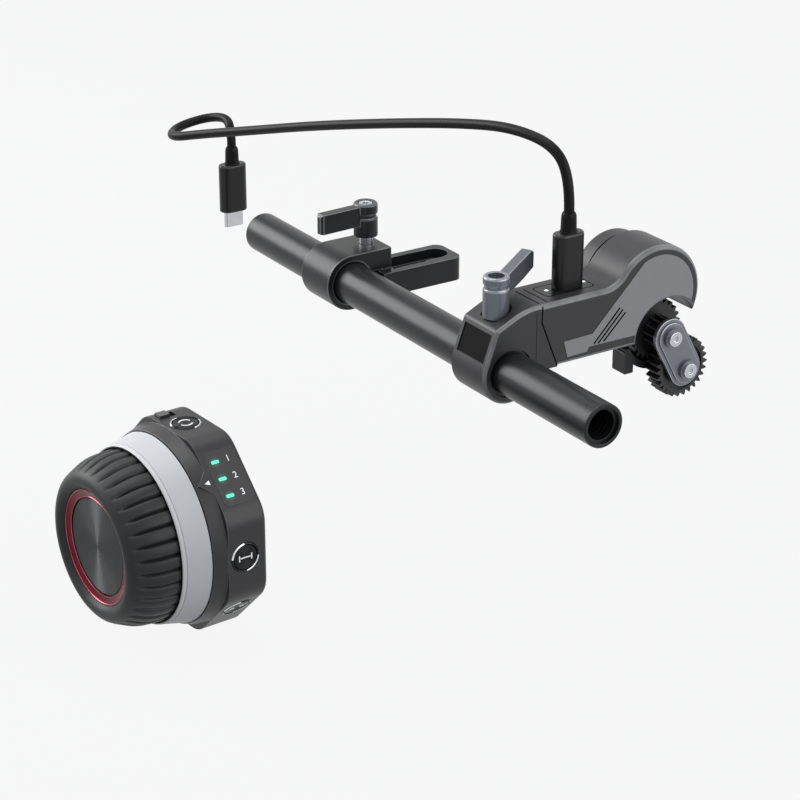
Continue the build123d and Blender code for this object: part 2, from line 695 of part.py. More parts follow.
# ---- motor unit ----
def motor_clamp():
    head = plate_y(clamp_outline(), MOTOR_Y0, CLAMP_Y1)
    front = head.edges().group_by(Axis.Y)[0]
    beside_seam = front.filter_by_position(Axis.X, SEAM_KNEE_X, SEAM_FOOT_X)
    head = fillet(front - beside_seam, CLAMP_EDGE)
    head -= cheek()
    head -= bar_y(ROD_R + RUNNING, MOTOR_Y0, CLAMP_Y1)
    head -= bar_y(CLAMP_MOUTH_R, MOTOR_Y0, MOTOR_Y0 + CLAMP_MOUTH_DEPTH)
    head -= bar_z(CLAMP_RECESS_R, FRONT_HUB_Z0 - AIR, FRONT_HUB_Z1, 0, FRONT_LEVER_Y)
    head -= bar_z(STUD_R + LOOSE, PAD_Z1, FRONT_HUB_Z0, 0, FRONT_LEVER_Y)
    head -= bar_z(PAD_R + LOOSE, 0, PAD_Z1, 0, FRONT_LEVER_Y)
    for y in CLAMP_BOLT_YS:
        head -= bar_x(CLAMP_BOLT_R + SEAT, CLAMP_BOLT_X0 - SEAT, SEAM_FOOT_X, y, CLAMP_BOLT_Z)
    return head


def clamp_pad():
    pad = bar_z(PAD_R, 0, PAD_Z1, 0, FRONT_LEVER_Y)
    return pad - bar_y(ROD_R + RUNNING, MOTOR_Y0, CLAMP_Y1)


def clamp_bolts():
    bolts = []
    for y in CLAMP_BOLT_YS:
        seat = CLAMP_BOLT_SEAT_X
        bolt = bar_x(CLAMP_BOLT_R, CLAMP_BOLT_X0, seat, y, CLAMP_BOLT_Z)
        bolt += bar_x(CLAMP_BOLT_HEAD_R, seat, seat + CLAMP_BOLT_HEAD_H, y, CLAMP_BOLT_Z)
        bolts.append(bolt)
    return Compound(bolts)


def port(x, y, z0, z1, grow):
    """Round-ended port for a plug shell, widened by a margin all round."""
    outline = Pos(x, y) * SlotOverall(SHELL_W + 2 * grow, SHELL_D + 2 * grow)
    return plate_z(outline, z0, z1)


def motor_shell():
    shell = plate_y(body_outline(), MOTOR_Y0, HOOD_Y1)
    front = shell.edges().group_by(Axis.Y)[0]
    beside_seam = front.filter_by_position(Axis.X, SEAM_KNEE_X, SEAM_FOOT_X)
    shell = fillet(front - beside_seam, BODY_EDGE)
    shell -= plate_y(body_outline(BODY_WALL), MOTOR_Y0 + BODY_WALL, HOOD_Y1)
    inside = plate_y(body_outline(BODY_WALL / 2), MOTOR_Y0 + BODY_WALL / 2, HOOD_Y1)
    ribs = [
        block(
            seam_x(CLAMP_BOLT_Z),
            CLAMP_BOLT_SEAT_X,
            MOTOR_Y0,
            HOOD_Y1,
            CLAMP_BOLT_Z - BOLT_SEAT_HALF,
            CLAMP_BOLT_Z + BOLT_SEAT_HALF,
        )
    ]
    ribs += [bar_y(POST_R, MOTOR_Y0, HOOD_Y1, x, z) for x, z in POSTS]
    board_bottom = BOARD_Z1 - BOARD_T
    for x in RIB_XS:
        left, right = x - RIB_T / 2, x + RIB_T / 2
        ribs.append(block(left, right, MOTOR_Y0, HOOD_Y1, BODY_BOTTOM_Z, board_bottom))
    base_boss_z1 = BODY_BOTTOM_Z + BASE_SCREW_LENGTH
    for x in (BASE_SCREW_X, BASE_SCREW_X + BASE_SCREW_PITCH):
        ribs.append(bar_z(BASE_BOSS_R, BODY_BOTTOM_Z, base_boss_z1, x, BASE_SCREW_Y))
    for rib in ribs:
        shell += rib & inside
    accent_back = MOTOR_Y0 - ACCENT_PROUD + ACCENT_T
    shell -= plate_y(accent_outline(SEAT), MOTOR_Y0 - ACCENT_T, accent_back)
    shell -= panel_block(SEAT, BODY_TOP_Z)
    shell -= port(PLUG_X, PLUG_Y, BODY_TOP_Z - 2 * BODY_WALL, BODY_TOP_Z, SOCKET_WALL + PORT_GAP)
    for x in LIGHT_XS:
        shell -= bar_z(LIGHT_R + SEAT, BODY_TOP_Z - 2 * BODY_WALL, BODY_TOP_Z, x, LIGHT_Y)
    for y in CLAMP_BOLT_YS:
        shell -= bar_x(CLAMP_BOLT_R + LOOSE, SEAM_KNEE_X, CLAMP_BOLT_SEAT_X, y, CLAMP_BOLT_Z)
    for x, z in POSTS:
        shell -= bar_y(COVER_SCREW_R + SEAT, COVER_SCREW_Y0 - SEAT, HOOD_Y1, x, z)
    for x in (BASE_SCREW_X, BASE_SCREW_X + BASE_SCREW_PITCH):
        shell -= bar_z(BASE_SCREW_R + SEAT, BODY_BOTTOM_Z, base_boss_z1, x, BASE_SCREW_Y)
    return shell


def panel_block(grow, top):
    """Block of the top panel, widened by a margin."""
    centre = Pos((PANEL_X0 + PANEL_X1) / 2, (PANEL_Y0 + PANEL_Y1) / 2)
    width, depth = PANEL_X1 - PANEL_X0 + 2 * grow, PANEL_Y1 - PANEL_Y0 + 2 * grow
    return plate_z(centre * RectangleRounded(width, depth, PANEL_CORNER_R), BODY_TOP_Z - PANEL_T, top)


def status_panel():
    panel = panel_block(0, BODY_TOP_Z)
    panel -= port(PLUG_X, PLUG_Y, BODY_TOP_Z - PANEL_T, BODY_TOP_Z, SOCKET_WALL + PORT_GAP)
    for x in LIGHT_XS:
        panel -= bar_z(LIGHT_R + SEAT, BODY_TOP_Z - PANEL_T, BODY_TOP_Z, x, LIGHT_Y)
    return panel


def status_lights():
    return Compound([bar_z(LIGHT_R, BOARD_Z1, BODY_TOP_Z, x, LIGHT_Y) for x in LIGHT_XS])


def accent_plate():
    front = MOTOR_Y0 - ACCENT_PROUD
    plate = plate_y(accent_outline(), front, front + ACCENT_T)
    for start, end in ACCENT_SLASHES:
        plate -= plate_y(slot_between(start, end, ACCENT_SLASH_W / 2), front, front + ACCENT_T)
    return plate


def motor_board():
    return block(BOARD_X0, BOARD_X1, BOARD_Y0, BOARD_Y1, BOARD_Z1 - BOARD_T, BOARD_Z1)


def motor_usb_socket():
    socket = port(PLUG_X, PLUG_Y, BOARD_Z1, BODY_TOP_Z - PORT_GAP, SOCKET_WALL)
    return socket - port(PLUG_X, PLUG_Y, BOARD_Z1 + SOCKET_FLOOR, BODY_TOP_Z, SEAT)


def motor_rear_cover():
    cover = plate_y(body_outline(), HOOD_Y1, COVER_Y1)
    cover += bar_y(COVER_BOSS_R, HOOD_Y1, COVER_Y1, DRIVE_X, DRIVE_Z)
    barrel = bar_y(BARREL_R, HOOD_Y1, BARREL_Y1, BARREL_X, BARREL_Z)
    rear_edge = barrel.edges().filter_by(GeomType.CIRCLE).sort_by(Axis.Y)[-1]
    barrel = fillet(rear_edge, BARREL_EDGE)
    for i in range(BARREL_GROOVES):
        y = BARREL_GROOVE_Y0 + i * BARREL_GROOVE_PITCH
        groove = bar_y(BARREL_R + LOOSE, y, y + BARREL_GROOVE_W, BARREL_X, BARREL_Z)
        groove -= bar_y(BARREL_R - BARREL_GROOVE_DEPTH, y, y + BARREL_GROOVE_W, BARREL_X, BARREL_Z)
        barrel -= groove
    cover += barrel
    cover += bar_y(SHOULDER_R, SHOULDER_Y0, COVER_Y1, DRIVE_X, DRIVE_Z)
    cover += bar_y(BOSS_R, BOSS_Y0, COVER_Y1, DRIVE_X, DRIVE_Z)
    cover -= can_room(SEAT) & bar_y(BARREL_R, HOOD_Y1, BARREL_Y1, BARREL_X, BARREL_Z)
    cover -= bar_y(BOSS_BORE_R + SEAT, BOSS_Y0, BOSS_BORE_Y1, DRIVE_X, DRIVE_Z)
    for x, z in POSTS:
        cover -= bar_y(COVER_SCREW_R + LOOSE, HOOD_Y1, COVER_Y1, x, z)
        head_front = COVER_Y1 - COVER_SCREW_HEAD_H
        cover -= bar_y(COVER_SCREW_HEAD_R + LOOSE, head_front, BARREL_Y1, x, z)
    return cover


def cover_screws():
    screws = []
    for x, z in POSTS:
        head_front = COVER_Y1 - COVER_SCREW_HEAD_H
        screw = bar_y(COVER_SCREW_R, COVER_SCREW_Y0, head_front, x, z)
        screws.append(screw + bar_y(COVER_SCREW_HEAD_R, head_front, COVER_Y1, x, z))
    return Compound(screws)


def base_screws():
    screws = []
    for i, share in enumerate((1.0, BASE_SCREW_SMALL)):
        x = BASE_SCREW_X + i * BASE_SCREW_PITCH
        tip_z = BODY_BOTTOM_Z + BASE_SCREW_LENGTH - AIR
        screw = bar_z(BASE_SCREW_R, BODY_BOTTOM_Z, tip_z, x, BASE_SCREW_Y)
        head_r, head_h = BASE_SCREW_HEAD_R * share, BASE_SCREW_HEAD_H * share
        screws.append(screw + bar_z(head_r, BODY_BOTTOM_Z - head_h, BODY_BOTTOM_Z, x, BASE_SCREW_Y))
    return Compound(screws)


def can_room(grow):
    """The motor can, notched round the output boss, widened by a margin."""
    can = bar_y(CAN_R + grow, CAN_Y0, CAN_Y1, BARREL_X, BARREL_Z)
    return can - bar_y(GUARD_R + BODY_WALL + AIR - grow, CAN_Y0, CAN_STEP_Y - grow, DRIVE_X, DRIVE_Z)


def motor_can():
    return can_room(0)


def gearbox():
    case = bar_y(GEARBOX_R, GEARBOX_Y0, CAN_Y0, BARREL_X, BARREL_Z)
    return case - bar_y(GUARD_R + BODY_WALL + AIR, GEARBOX_Y0, CAN_Y0, DRIVE_X, DRIVE_Z)


def output_bearings():
    rings = []
    for y in BEARING_YS:
        ring = bar_y(BOSS_BORE_R, y, y + BEARING_W, DRIVE_X, DRIVE_Z)
        rings.append(ring - bar_y(OUTPUT_SHAFT_R + RUNNING, y, y + BEARING_W, DRIVE_X, DRIVE_Z))
    return Compound(rings)


# ---- gears ----
def involute(angle):
    return tan(angle) - angle


def gear_outline(teeth, centre, tooth_angle):
    """Spur gear outline in X and Z with one tooth centred on an angle in degrees."""
    pitch_r = GEAR_MODULE * teeth / 2
    pressure = radians(PRESSURE_ANGLE)
    base_r = pitch_r * cos(pressure)
    tip_r = pitch_r + ADDENDUM * GEAR_MODULE
    root_r = pitch_r - DEDENDUM * GEAR_MODULE
    half_tooth = pi / (2 * teeth) - FLANK_THINNING / pitch_r
    start_r = max(base_r, root_r)
    radii = [start_r + (tip_r - start_r) * i / (FLANK_STEPS - 1) for i in range(FLANK_STEPS)]
    flank = []
    for r in radii:
        turn = involute(acos(min(1.0, base_r / r)))
        flank.append((r, half_tooth + involute(pressure) - turn))
    if root_r < base_r:
        flank.insert(0, (root_r, flank[0][1]))
    points = []
    for tooth in range(teeth):
        middle = radians(tooth_angle) + 2 * pi * tooth / teeth
        for r, half in flank:
            points.append((centre[0] + r * cos(middle - half), centre[1] + r * sin(middle - half)))
        for r, half in reversed(flank):
            points.append((centre[0] + r * cos(middle + half), centre[1] + r * sin(middle + half)))
    return polygon(points)


def idler_centre():
    reach = GEAR_MODULE * (PINION_TEETH + IDLER_TEETH) / 2
    turn = radians(IDLER_ANGLE)
    return DRIVE_X + reach * cos(turn), DRIVE_Z + reach * sin(turn)


def drive_gear():
    """Pinion, toothed rim and output shaft in one piece."""
    centre = (DRIVE_X, DRIVE_Z)
    gear = plate_y(gear_outline(PINION_TEETH, centre, IDLER_ANGLE), GEAR_Y0, PINION_Y1)
    gear += bar_y(NECK_R, PINION_Y1, RIM_Y0, *centre)
    gear += plate_y(gear_outline(RIM_TEETH, centre, IDLER_ANGLE), RIM_Y0, RIM_Y1)
    gear += bar_y(OUTPUT_SHAFT_R, RIM_Y1, OUTPUT_SHAFT_Y1, *centre)
    return gear - bar_y(AXLE_R + RUNNING, GEAR_Y0, DRIVE_AXLE_Y1 + AIR, *centre)


def idler_gear():
    centre = idler_centre()
    gap_angle = IDLER_ANGLE + 180 + 180 / IDLER_TEETH
    gear = plate_y(gear_outline(IDLER_TEETH, centre, gap_angle), GEAR_Y0, IDLER_Y1)
    groove = bar_y(IDLER_GROOVE_R1, GEAR_Y0, GEAR_Y0 + IDLER_GROOVE_DEPTH, *centre)
    gear -= groove - bar_y(IDLER_GROOVE_R0, GEAR_Y0, GEAR_Y0 + IDLER_GROOVE_DEPTH, *centre)
    return gear - bar_y(AXLE_R + RUNNING, GEAR_Y0, IDLER_Y1, *centre)


def axle(centre, end):
    """Pin from the link plate back to an end, tapped in front for its screw."""
    pin = bar_y(AXLE_R, LINK_Y1, end, *centre)
    return pin - bar_y(LINK_SCREW_R + SEAT, LINK_Y1, LINK_SCREW_Y1 + SEAT, *centre)


def gear_axles():
    return Compound([axle((DRIVE_X, DRIVE_Z), DRIVE_AXLE_Y1), axle(idler_centre(), RING_Y1)])


def link_plate():
    ends = ((DRIVE_X, DRIVE_Z), idler_centre())
    plate = plate_y(slot_between(*ends, LINK_R), LINK_Y0, LINK_Y1)
    plate = fillet(plate.edges().group_by(Axis.Y)[0], LINK_EDGE)
    step = plate_y(slot_between(*ends, LINK_STEP_R), LINK_STEP_Y0, LINK_Y0)
    plate += fillet(step.edges().group_by(Axis.Y)[0], LINK_EDGE)
    for centre in ends:
        plate += bar_y(LINK_BOSS_R, LINK_BOSS_Y0, LINK_STEP_Y0, *centre)
    for centre in ends:
        plate -= bar_y(LINK_SCREW_R + LOOSE, LINK_BOSS_Y0, LINK_Y1, *centre)
    return plate


def link_screws():
    screws = []
    for centre in ((DRIVE_X, DRIVE_Z), idler_centre()):
        front = LINK_BOSS_Y0 - LINK_HEAD_H
        screw = bar_y(LINK_HEAD_R, front, LINK_BOSS_Y0, *centre)
        screw += bar_y(LINK_SCREW_R, LINK_BOSS_Y0, LINK_SCREW_Y1, *centre)
        screw -= plate_y(Pos(*centre) * RegularPolygon(LINK_HEX_R, 6), front, front + LINK_HEX_DEPTH)
        screws.append(screw)
    return Compound(screws)


def swing_arm():
    """Ring on the output boss, curved rim wall, thumb tab and the idler's rear boss."""
    centre = (DRIVE_X, DRIVE_Z)
    ring = Pos(*centre) * Circle(RING_R)
    ring += slot_between(centre, idler_centre(), IDLER_BOSS_R)
    start, end = radians(RIM_WALL_FROM), radians(RIM_WALL_TO)
    reach = 2 * RIM_WALL_R1
    wedge = polygon([
        centre,
        (DRIVE_X + reach * cos(start), DRIVE_Z + reach * sin(start)),
        (DRIVE_X + reach * cos((start + end) / 2), DRIVE_Z + reach * sin((start + end) / 2)),
        (DRIVE_X + reach * cos(end), DRIVE_Z + reach * sin(end)),
    ])
    sector = Pos(*centre) * Circle(RIM_WALL_R1) & wedge
    arm = plate_y(ring + sector, RING_Y0, RING_Y1)
    arm += plate_y(sector - Pos(*centre) * Circle(RIM_WALL_R0), RIM_WALL_Y0, RING_Y0)
    tab = block(TAB_X0, TAB_X1, RIM_WALL_Y0, TAB_Y1, TAB_Z0, TAB_Z1)
    arm += fillet(tab.edges().group_by(Axis.Z)[0], TAB_EDGE)
    arm += bar_y(IDLER_BOSS_R, IDLER_BOSS_Y0, RING_Y0, *idler_centre())
    arm -= bar_y(RIM_WALL_R0, RIM_WALL_Y0, RING_Y0, *centre)
    arm -= bar_y(BOSS_R + RUNNING, RING_Y0, RING_Y1, *centre)
    return arm - bar_y(AXLE_R + SEAT, IDLER_BOSS_Y0, RING_Y1, *idler_centre())


# ---- cable and plugs ----
def plug_body(x, y, z0):
    body = plate_z(Pos(x, y) * SlotOverall(PLUG_W, PLUG_D), z0, z0 + PLUG_H)
    top = body.edges().group_by(Axis.Z)[-1]
    return chamfer(top, PLUG_EDGE)


def plug_relief(x, y, z0):
    return bar_z(RELIEF_R, z0 + PLUG_H, z0 + PLUG_H + RELIEF_H, x, y)


def plug_shell(x, y, z0):
    shell = port(x, y, z0 - SHELL_L, z0, 0)
    return shell - port(x, y, z0 - SHELL_L, z0 - SHELL_WALL, -SHELL_WALL)


def cable():
    """Tube along straight runs joined by tangent arcs."""
    points = [Vector(*p) for p in CABLE_ROUTE]
    runs = [b - a for a, b in zip(points, points[1:])]
    radii = []
    for before, after in zip(runs, runs[1:]):
        half_turn = radians(before.get_angle(after) / 2)
        radii.append(CABLE_BEND * min(before.length, after.length) / tan(half_turn))
    path = FilletPolyline(*points, radius=radii)
    start = Plane(origin=points[0], z_dir=runs[0])
    tube = sweep(start * Circle(CABLE_R), path=path)
    expected = pi * CABLE_R ** 2 * path.length
    print("cable radii", [round(r, 1) for r in radii])
    print("cable length", round(path.length, 1), "volume over expected", round(tube.volume / expected, 4))
    return tube


# ---- hand controller: built round the X axis, with X counted from the marking ring's front ----
def on_axis(radius, x0, x1):
    return bar_x(radius, x0, x1, 0, 0)


def revolved(profile):
    """Solid of revolution round the controller's axis; the profile holds (X, radius) pairs."""
    return revolve(Plane.XZ * polygon(profile), Axis.X)


def octagon(apothem, corner_r, x0, x1):
    outline = Rot(0, 0, 180 / 8) * RegularPolygon(apothem, 8, major_radius=False)
    return plate_x(fillet(outline.vertices(), corner_r), x0, x1)


def facet(angle, x, shift, solid):
    """Place a solid on a facet of the housing: its Z is the facet's outward normal."""
    turn = radians(angle)
    normal = Vector(0, -cos(turn), sin(turn))
    along = Vector(0, sin(turn), cos(turn))
    origin = Vector(x, 0, 0) + normal * APOTHEM + along * shift
    return Plane(origin=origin, x_dir=(1, 0, 0), z_dir=normal).location * solid


def button_place(name, solid):
    return facet(FACET_ANGLES[name], BUTTON_X[name], BUTTON_SHIFT[name], solid)


def disc(radius, z0, z1):
    return Pos(0, 0, (z0 + z1) / 2) * Cylinder(radius, z1 - z0)


def slab(width, length, z0, z1, corner):
    return plate_z(RectangleRounded(width, length, corner), z0, z1)


def corner_posts():
    reach = CORNER_POST_OFFSET
    return [(a * reach, b * reach) for a in (-1, 1) for b in (-1, 1)]


def index_ridge():
    """Pointed ridge that carries a facet's plane forward over the flange."""
    tip = polygon([(INDEX_X0, 0), (HOUSING_X0, -INDEX_HALF_W), (HOUSING_X0, INDEX_HALF_W)])
    return facet(PANEL_FACET, 0, 0, plate_z(tip, -INDEX_DEPTH, 0))


def controller_body():
    body = octagon(APOTHEM, CORNER_R, HOUSING_X0, HOUSING_X1)
    rear = body.edges().group_by(Axis.X)[-1]
    body = fillet(rear, HOUSING_EDGE)
    body += revolved([
        (FLANGE_X0, 0),
        (FLANGE_X0, FLANGE_FRONT_R),
        (HOUSING_X0, FLANGE_R),
        (HOUSING_X0, 0),
    ])
    body += index_ridge()
    inner = APOTHEM - HOUSING_WALL
    inner_corner = CORNER_R - HOUSING_WALL
    step_x = HOUSING_X0 + HOUSING_WALL
    body -= on_axis(FLANGE_FRONT_R - HOUSING_WALL, FRONT_WALL_X1, step_x)
    body -= octagon(inner, inner_corner, step_x, HOUSING_X1)
    back_x0 = HOUSING_X1 - BACK_T
    inside = octagon(inner + HOUSING_WALL / 2, inner_corner, FRONT_WALL_X1, back_x0)
    body += on_axis(HUB_TUBE_R, FLANGE_X0, HUB_TUBE_X1)
    for y, z in corner_posts():
        post = bar_x(CORNER_POST_R, FRONT_WALL_X1, back_x0, y, z)
        body += post & inside
    for name in FACET_ANGLES:
        depth = POCKET_DEPTH + POCKET_FLOOR_T
        body += button_place(name, disc(POCKET_BOSS_R, -depth, -HOUSING_WALL / 2)) & inside
    for name in FACET_ANGLES:
        body -= button_place(name, disc(BUTTON_R + LOOSE, -POCKET_DEPTH, BEZEL_PROUD))
        body -= button_place(name, disc(BEZEL_R + SEAT, BEZEL_PROUD - BEZEL_T, 2 * BEZEL_PROUD))
    width, length = LIGHT_PANEL_W + 2 * SEAT, LIGHT_PANEL_L + 2 * SEAT
    recess = slab(width, length, -LIGHT_PANEL_T, LIGHT_PANEL_T, LIGHT_PANEL_CORNER)
    body -= facet(PANEL_FACET, LIGHT_PANEL_X, 0, recess)
    power_slot = slab(POWER_SLOT_W, POWER_L + 2 * LOOSE, -POWER_SLOT_DEPTH, POWER_H, LOOSE)
    body -= facet(POWER_FACET, POWER_X, POWER_SHIFT, power_slot)
    body -= on_axis(HUB_BORE_R + SEAT, FLANGE_X0, HUB_TUBE_X1)
    for y, z in corner_posts():
        body -= bar_x(BACK_SCREW_R + SEAT, BACK_SCREW_X0 - SEAT, HOUSING_X1, y, z)
    return body


def controller_back():
    across = APOTHEM - HOUSING_WALL - LOOSE
    back = octagon(across, CORNER_R - HOUSING_WALL, HOUSING_X1 - BACK_T, HOUSING_X1)
    back += on_axis(INSERT_R + HOUSING_WALL, INSERT_X0, HOUSING_X1)
    back -= on_axis(INSERT_R + SEAT, INSERT_X0, HOUSING_X1)
    for y, z in corner_posts():
        back -= bar_x(BACK_SCREW_R + LOOSE, HOUSING_X1 - BACK_T, HOUSING_X1, y, z)
        head_room = HOUSING_X1 - BACK_SCREW_HEAD_H
        back -= bar_x(BACK_SCREW_HEAD_R + LOOSE, head_room, HOUSING_X1, y, z)
    return back


def back_screws():
    screws = []
    for y, z in corner_posts():
        head_x0 = HOUSING_X1 - BACK_SCREW_HEAD_H
        screw = bar_x(BACK_SCREW_R, BACK_SCREW_X0, head_x0, y, z)
        screws.append(screw + bar_x(BACK_SCREW_HEAD_R, head_x0, HOUSING_X1, y, z))
    return Compound(screws)


def tripod_insert():
    return on_axis(INSERT_R, INSERT_X0, HOUSING_X1) - on_axis(INSERT_BORE_R, INSERT_X0, HOUSING_X1)


def marking_ring():
    return revolved([
        (0, RING_INNER_R),
        (0, RING_FRONT_R),
        (RING_DEPTH, RING_BACK_R),
        (RING_DEPTH, RING_HUB_R),
        (RING_LIP_DEPTH, RING_HUB_R),
        (RING_LIP_DEPTH, RING_INNER_R),
    ])


def knob_core():
    """Cup that carries the grip, with the shaft that turns in the bearings."""
    core = on_axis(CORE_R, CORE_X0, CORE_X1)
    core -= on_axis(CORE_R - CORE_WALL, CORE_X0 + CORE_WALL, CORE_X1)
    return core + on_axis(KNOB_SHAFT_R, CORE_X0, KNOB_SHAFT_X1)


def knob_grip():
    """Rubber skirt with a rounded shoulder, a smooth front rim and a groove between two ribs."""
    side = [(x, GRIP_BACK_R - drop) for x, drop in GRIP_SIDE]
    rim_r = GRIP_BACK_R - GRIP_RIM_DROP
    grip = revolved([
        (CORE_X0, GRIP_MOUTH_R),
        (GRIP_MOUTH_X, GRIP_MOUTH_R),
        (GRIP_RIM_X, rim_r - GRIP_RIM_W),
        (GRIP_RIM_X, rim_r),
        *side,
        (GRIP_X1, GRIP_BACK_R),
        (GRIP_X1, CORE_R),
        (CORE_X0, CORE_R),
    ])
    (x0, r0), (x1, r1) = side[:2]
    front_x = x0 + GRIP_GROOVE_SETBACK
    front_r = r0 + (r1 - r0) * GRIP_GROOVE_SETBACK / (x1 - x0)
    back_x = GRIP_X1 + GRIP_GROOVE_DEPTH
    crest = [(front_x, front_r), *side[1:], (back_x, GRIP_BACK_R)]
    valley = [(x, r - GRIP_GROOVE_DEPTH) for x, r in crest]
    outside = [(back_x, 2 * GRIP_BACK_R), (front_x, 2 * GRIP_BACK_R)]
    groove = plate_y(polygon(valley + outside), -GRIP_GROOVE_W / 2, GRIP_GROOVE_W / 2)
    for i in range(GRIP_RIBS):
        grip -= Rot(360 / GRIP_RIBS * i, 0, 0) * groove
    return grip


def red_ring():
    return revolved([
        (CORE_X0, RED_RING_R0),
        (CAP_X0, RED_RING_R0),
        (RED_RING_X0, GRIP_MOUTH_R),
        (CORE_X0, GRIP_MOUTH_R),
    ])


def knob_cap():
    return on_axis(RED_RING_R0, CAP_X0, CORE_X0)


def knob_bearings():
    rings = []
    for x in KNOB_BEARING_XS:
        ring = on_axis(HUB_BORE_R, x, x + KNOB_BEARING_W)
        rings.append(ring - on_axis(KNOB_SHAFT_R + RUNNING, x, x + KNOB_BEARING_W))
    return Compound(rings)


def controller_board():
    board = on_axis(BOARD_R, HUB_TUBE_X1, HUB_TUBE_X1 + CONTROL_BOARD_T)
    board -= on_axis(HUB_BORE_R, HUB_TUBE_X1, HUB_TUBE_X1 + CONTROL_BOARD_T)
    for y, z in corner_posts():
        board -= bar_x(CORNER_POST_R + LOOSE, HUB_TUBE_X1, HOUSING_X1, y, z)
    pocket_bottom = -POCKET_DEPTH - POCKET_FLOOR_T
    for name in FACET_ANGLES:
        board -= button_place(name, disc(POCKET_BOSS_R + LOOSE, pocket_bottom - LOOSE, 0))
    return board


def battery():
    return block(
        BATTERY_X0,
        HUB_TUBE_X1,
        -BATTERY_W / 2,
        BATTERY_W / 2,
        BATTERY_Z1 - BATTERY_H,
        BATTERY_Z1,
    )


def light_panel():
    panel = slab(LIGHT_PANEL_W, LIGHT_PANEL_L, -LIGHT_PANEL_T, 0, LIGHT_PANEL_CORNER)
    for light in indicator_solids(SEAT):
        panel -= light
    return facet(PANEL_FACET, LIGHT_PANEL_X, 0, panel)


def indicator_solids(grow):
    solids = []
    for i in range(INDICATORS):
        y = (i - (INDICATORS - 1) / 2) * INDICATOR_PITCH
        light = slab(INDICATOR_W + 2 * grow, INDICATOR_L + 2 * grow, -INDICATOR_T, 0, INDICATOR_L / 3)
        solids.append(Pos(INDICATOR_SHIFT, y, 0) * light)
    return solids


def indicator_lights():
    return Compound([facet(PANEL_FACET, LIGHT_PANEL_X, 0, light) for light in indicator_solids(0)])


def push_button(name):
    return button_place(name, disc(BUTTON_R, BUTTON_PROUD - BUTTON_T, BUTTON_PROUD))


def button_bezels():
    rings = []
    for name in FACET_ANGLES:
        ring = disc(BEZEL_R, BEZEL_PROUD - BEZEL_T, BEZEL_PROUD)
        ring -= disc(BUTTON_R + LOOSE, -BEZEL_T, BEZEL_PROUD)
        rings.append(button_place(name, ring))
    return Compound(rings)


def button_switches():
    top = BUTTON_PROUD - BUTTON_T - BUTTON_TRAVEL - LOOSE
    return Compound([button_place(name, disc(SWITCH_R, -POCKET_DEPTH, top)) for name in FACET_ANGLES])


def power_switch():
    start = (POWER_W - POWER_SLOT_W) / 2 + LOOSE
    slider = slab(POWER_W, POWER_L, -POWER_SLOT_DEPTH, POWER_H, LOOSE)
    return facet(POWER_FACET, POWER_X, POWER_SHIFT, Pos(start, 0, 0) * slider)


# ---- all nodes ----
REAR_PLACE = (REAR_LEVER_X, REAR_LEVER_Y)
FRONT_PLACE = (0.0, FRONT_LEVER_Y)
REAR_HUB = (REAR_HUB_Z0, REAR_HUB_Z1)
FRONT_HUB = (FRONT_HUB_Z0, FRONT_HUB_Z1)
MOTOR_PLUG = (PLUG_X, PLUG_Y, BODY_TOP_Z)
FAR_PLUG = (FAR_PLUG_X, FAR_PLUG_Y, FAR_PLUG_Z0)

NODES = {
    "rod": rod,
    "rear_clamp": rear_clamp,
    "slot_plate": slot_plate,
    "plate_screw": plate_screw,
    "rear_lever_stud": lambda: lever_stud(*REAR_PLACE, REAR_STUD_Z0, REAR_HUB_Z0),
    "rear_lever_handle": lambda: lever_handle(
        *REAR_PLACE, *REAR_HUB, REAR_WAIST_Z, REAR_ARM_ANGLE, REAR_ARM_LENGTH, REAR_ARM_SIDE
    ),
    "rear_lever_screw": lambda: lever_screw(*REAR_PLACE, *REAR_HUB, REAR_HEAD_DROP),
    "rear_lever_spring": lambda: lever_spring(*REAR_PLACE, *REAR_HUB, REAR_HEAD_DROP),
    "front_lever_stud": lambda: lever_stud(*FRONT_PLACE, PAD_Z1, FRONT_HUB_Z0),
    "front_lever_handle": lambda: lever_handle(
        *FRONT_PLACE, *FRONT_HUB, FRONT_WAIST_Z, FRONT_ARM_ANGLE, FRONT_ARM_LENGTH, FRONT_ARM_SIDE
    ),
    "front_lever_screw": lambda: lever_screw(*FRONT_PLACE, *FRONT_HUB, FRONT_HEAD_DROP),
    "front_lever_spring": lambda: lever_spring(*FRONT_PLACE, *FRONT_HUB, FRONT_HEAD_DROP),
    "motor_clamp": motor_clamp,
    "clamp_pad": clamp_pad,
    "clamp_bolts": clamp_bolts,
    "motor_shell": motor_shell,
    "accent_plate": accent_plate,
    "status_panel": status_panel,
    "status_lights": status_lights,
    "motor_board": motor_board,
    "motor_usb_socket": motor_usb_socket,
    "motor_rear_cover": motor_rear_cover,
    "cover_screws": cover_screws,
    "base_screws": base_screws,
    "motor_can": motor_can,
    "gearbox": gearbox,
    "output_bearings": output_bearings,
    "drive_gear": drive_gear,
    "idler_gear": idler_gear,
    "gear_axles": gear_axles,
    "link_plate": link_plate,
    "link_screws": link_screws,
    "swing_arm": swing_arm,
    "motor_plug": lambda: plug_body(*MOTOR_PLUG),
    "motor_plug_relief": lambda: plug_relief(*MOTOR_PLUG),
    "motor_plug_shell": lambda: plug_shell(*MOTOR_PLUG),
    "cable": cable,
    "far_plug": lambda: plug_body(*FAR_PLUG),
    "far_plug_relief": lambda: plug_relief(*FAR_PLUG),
    "far_plug_shell": lambda: plug_shell(*FAR_PLUG),
}

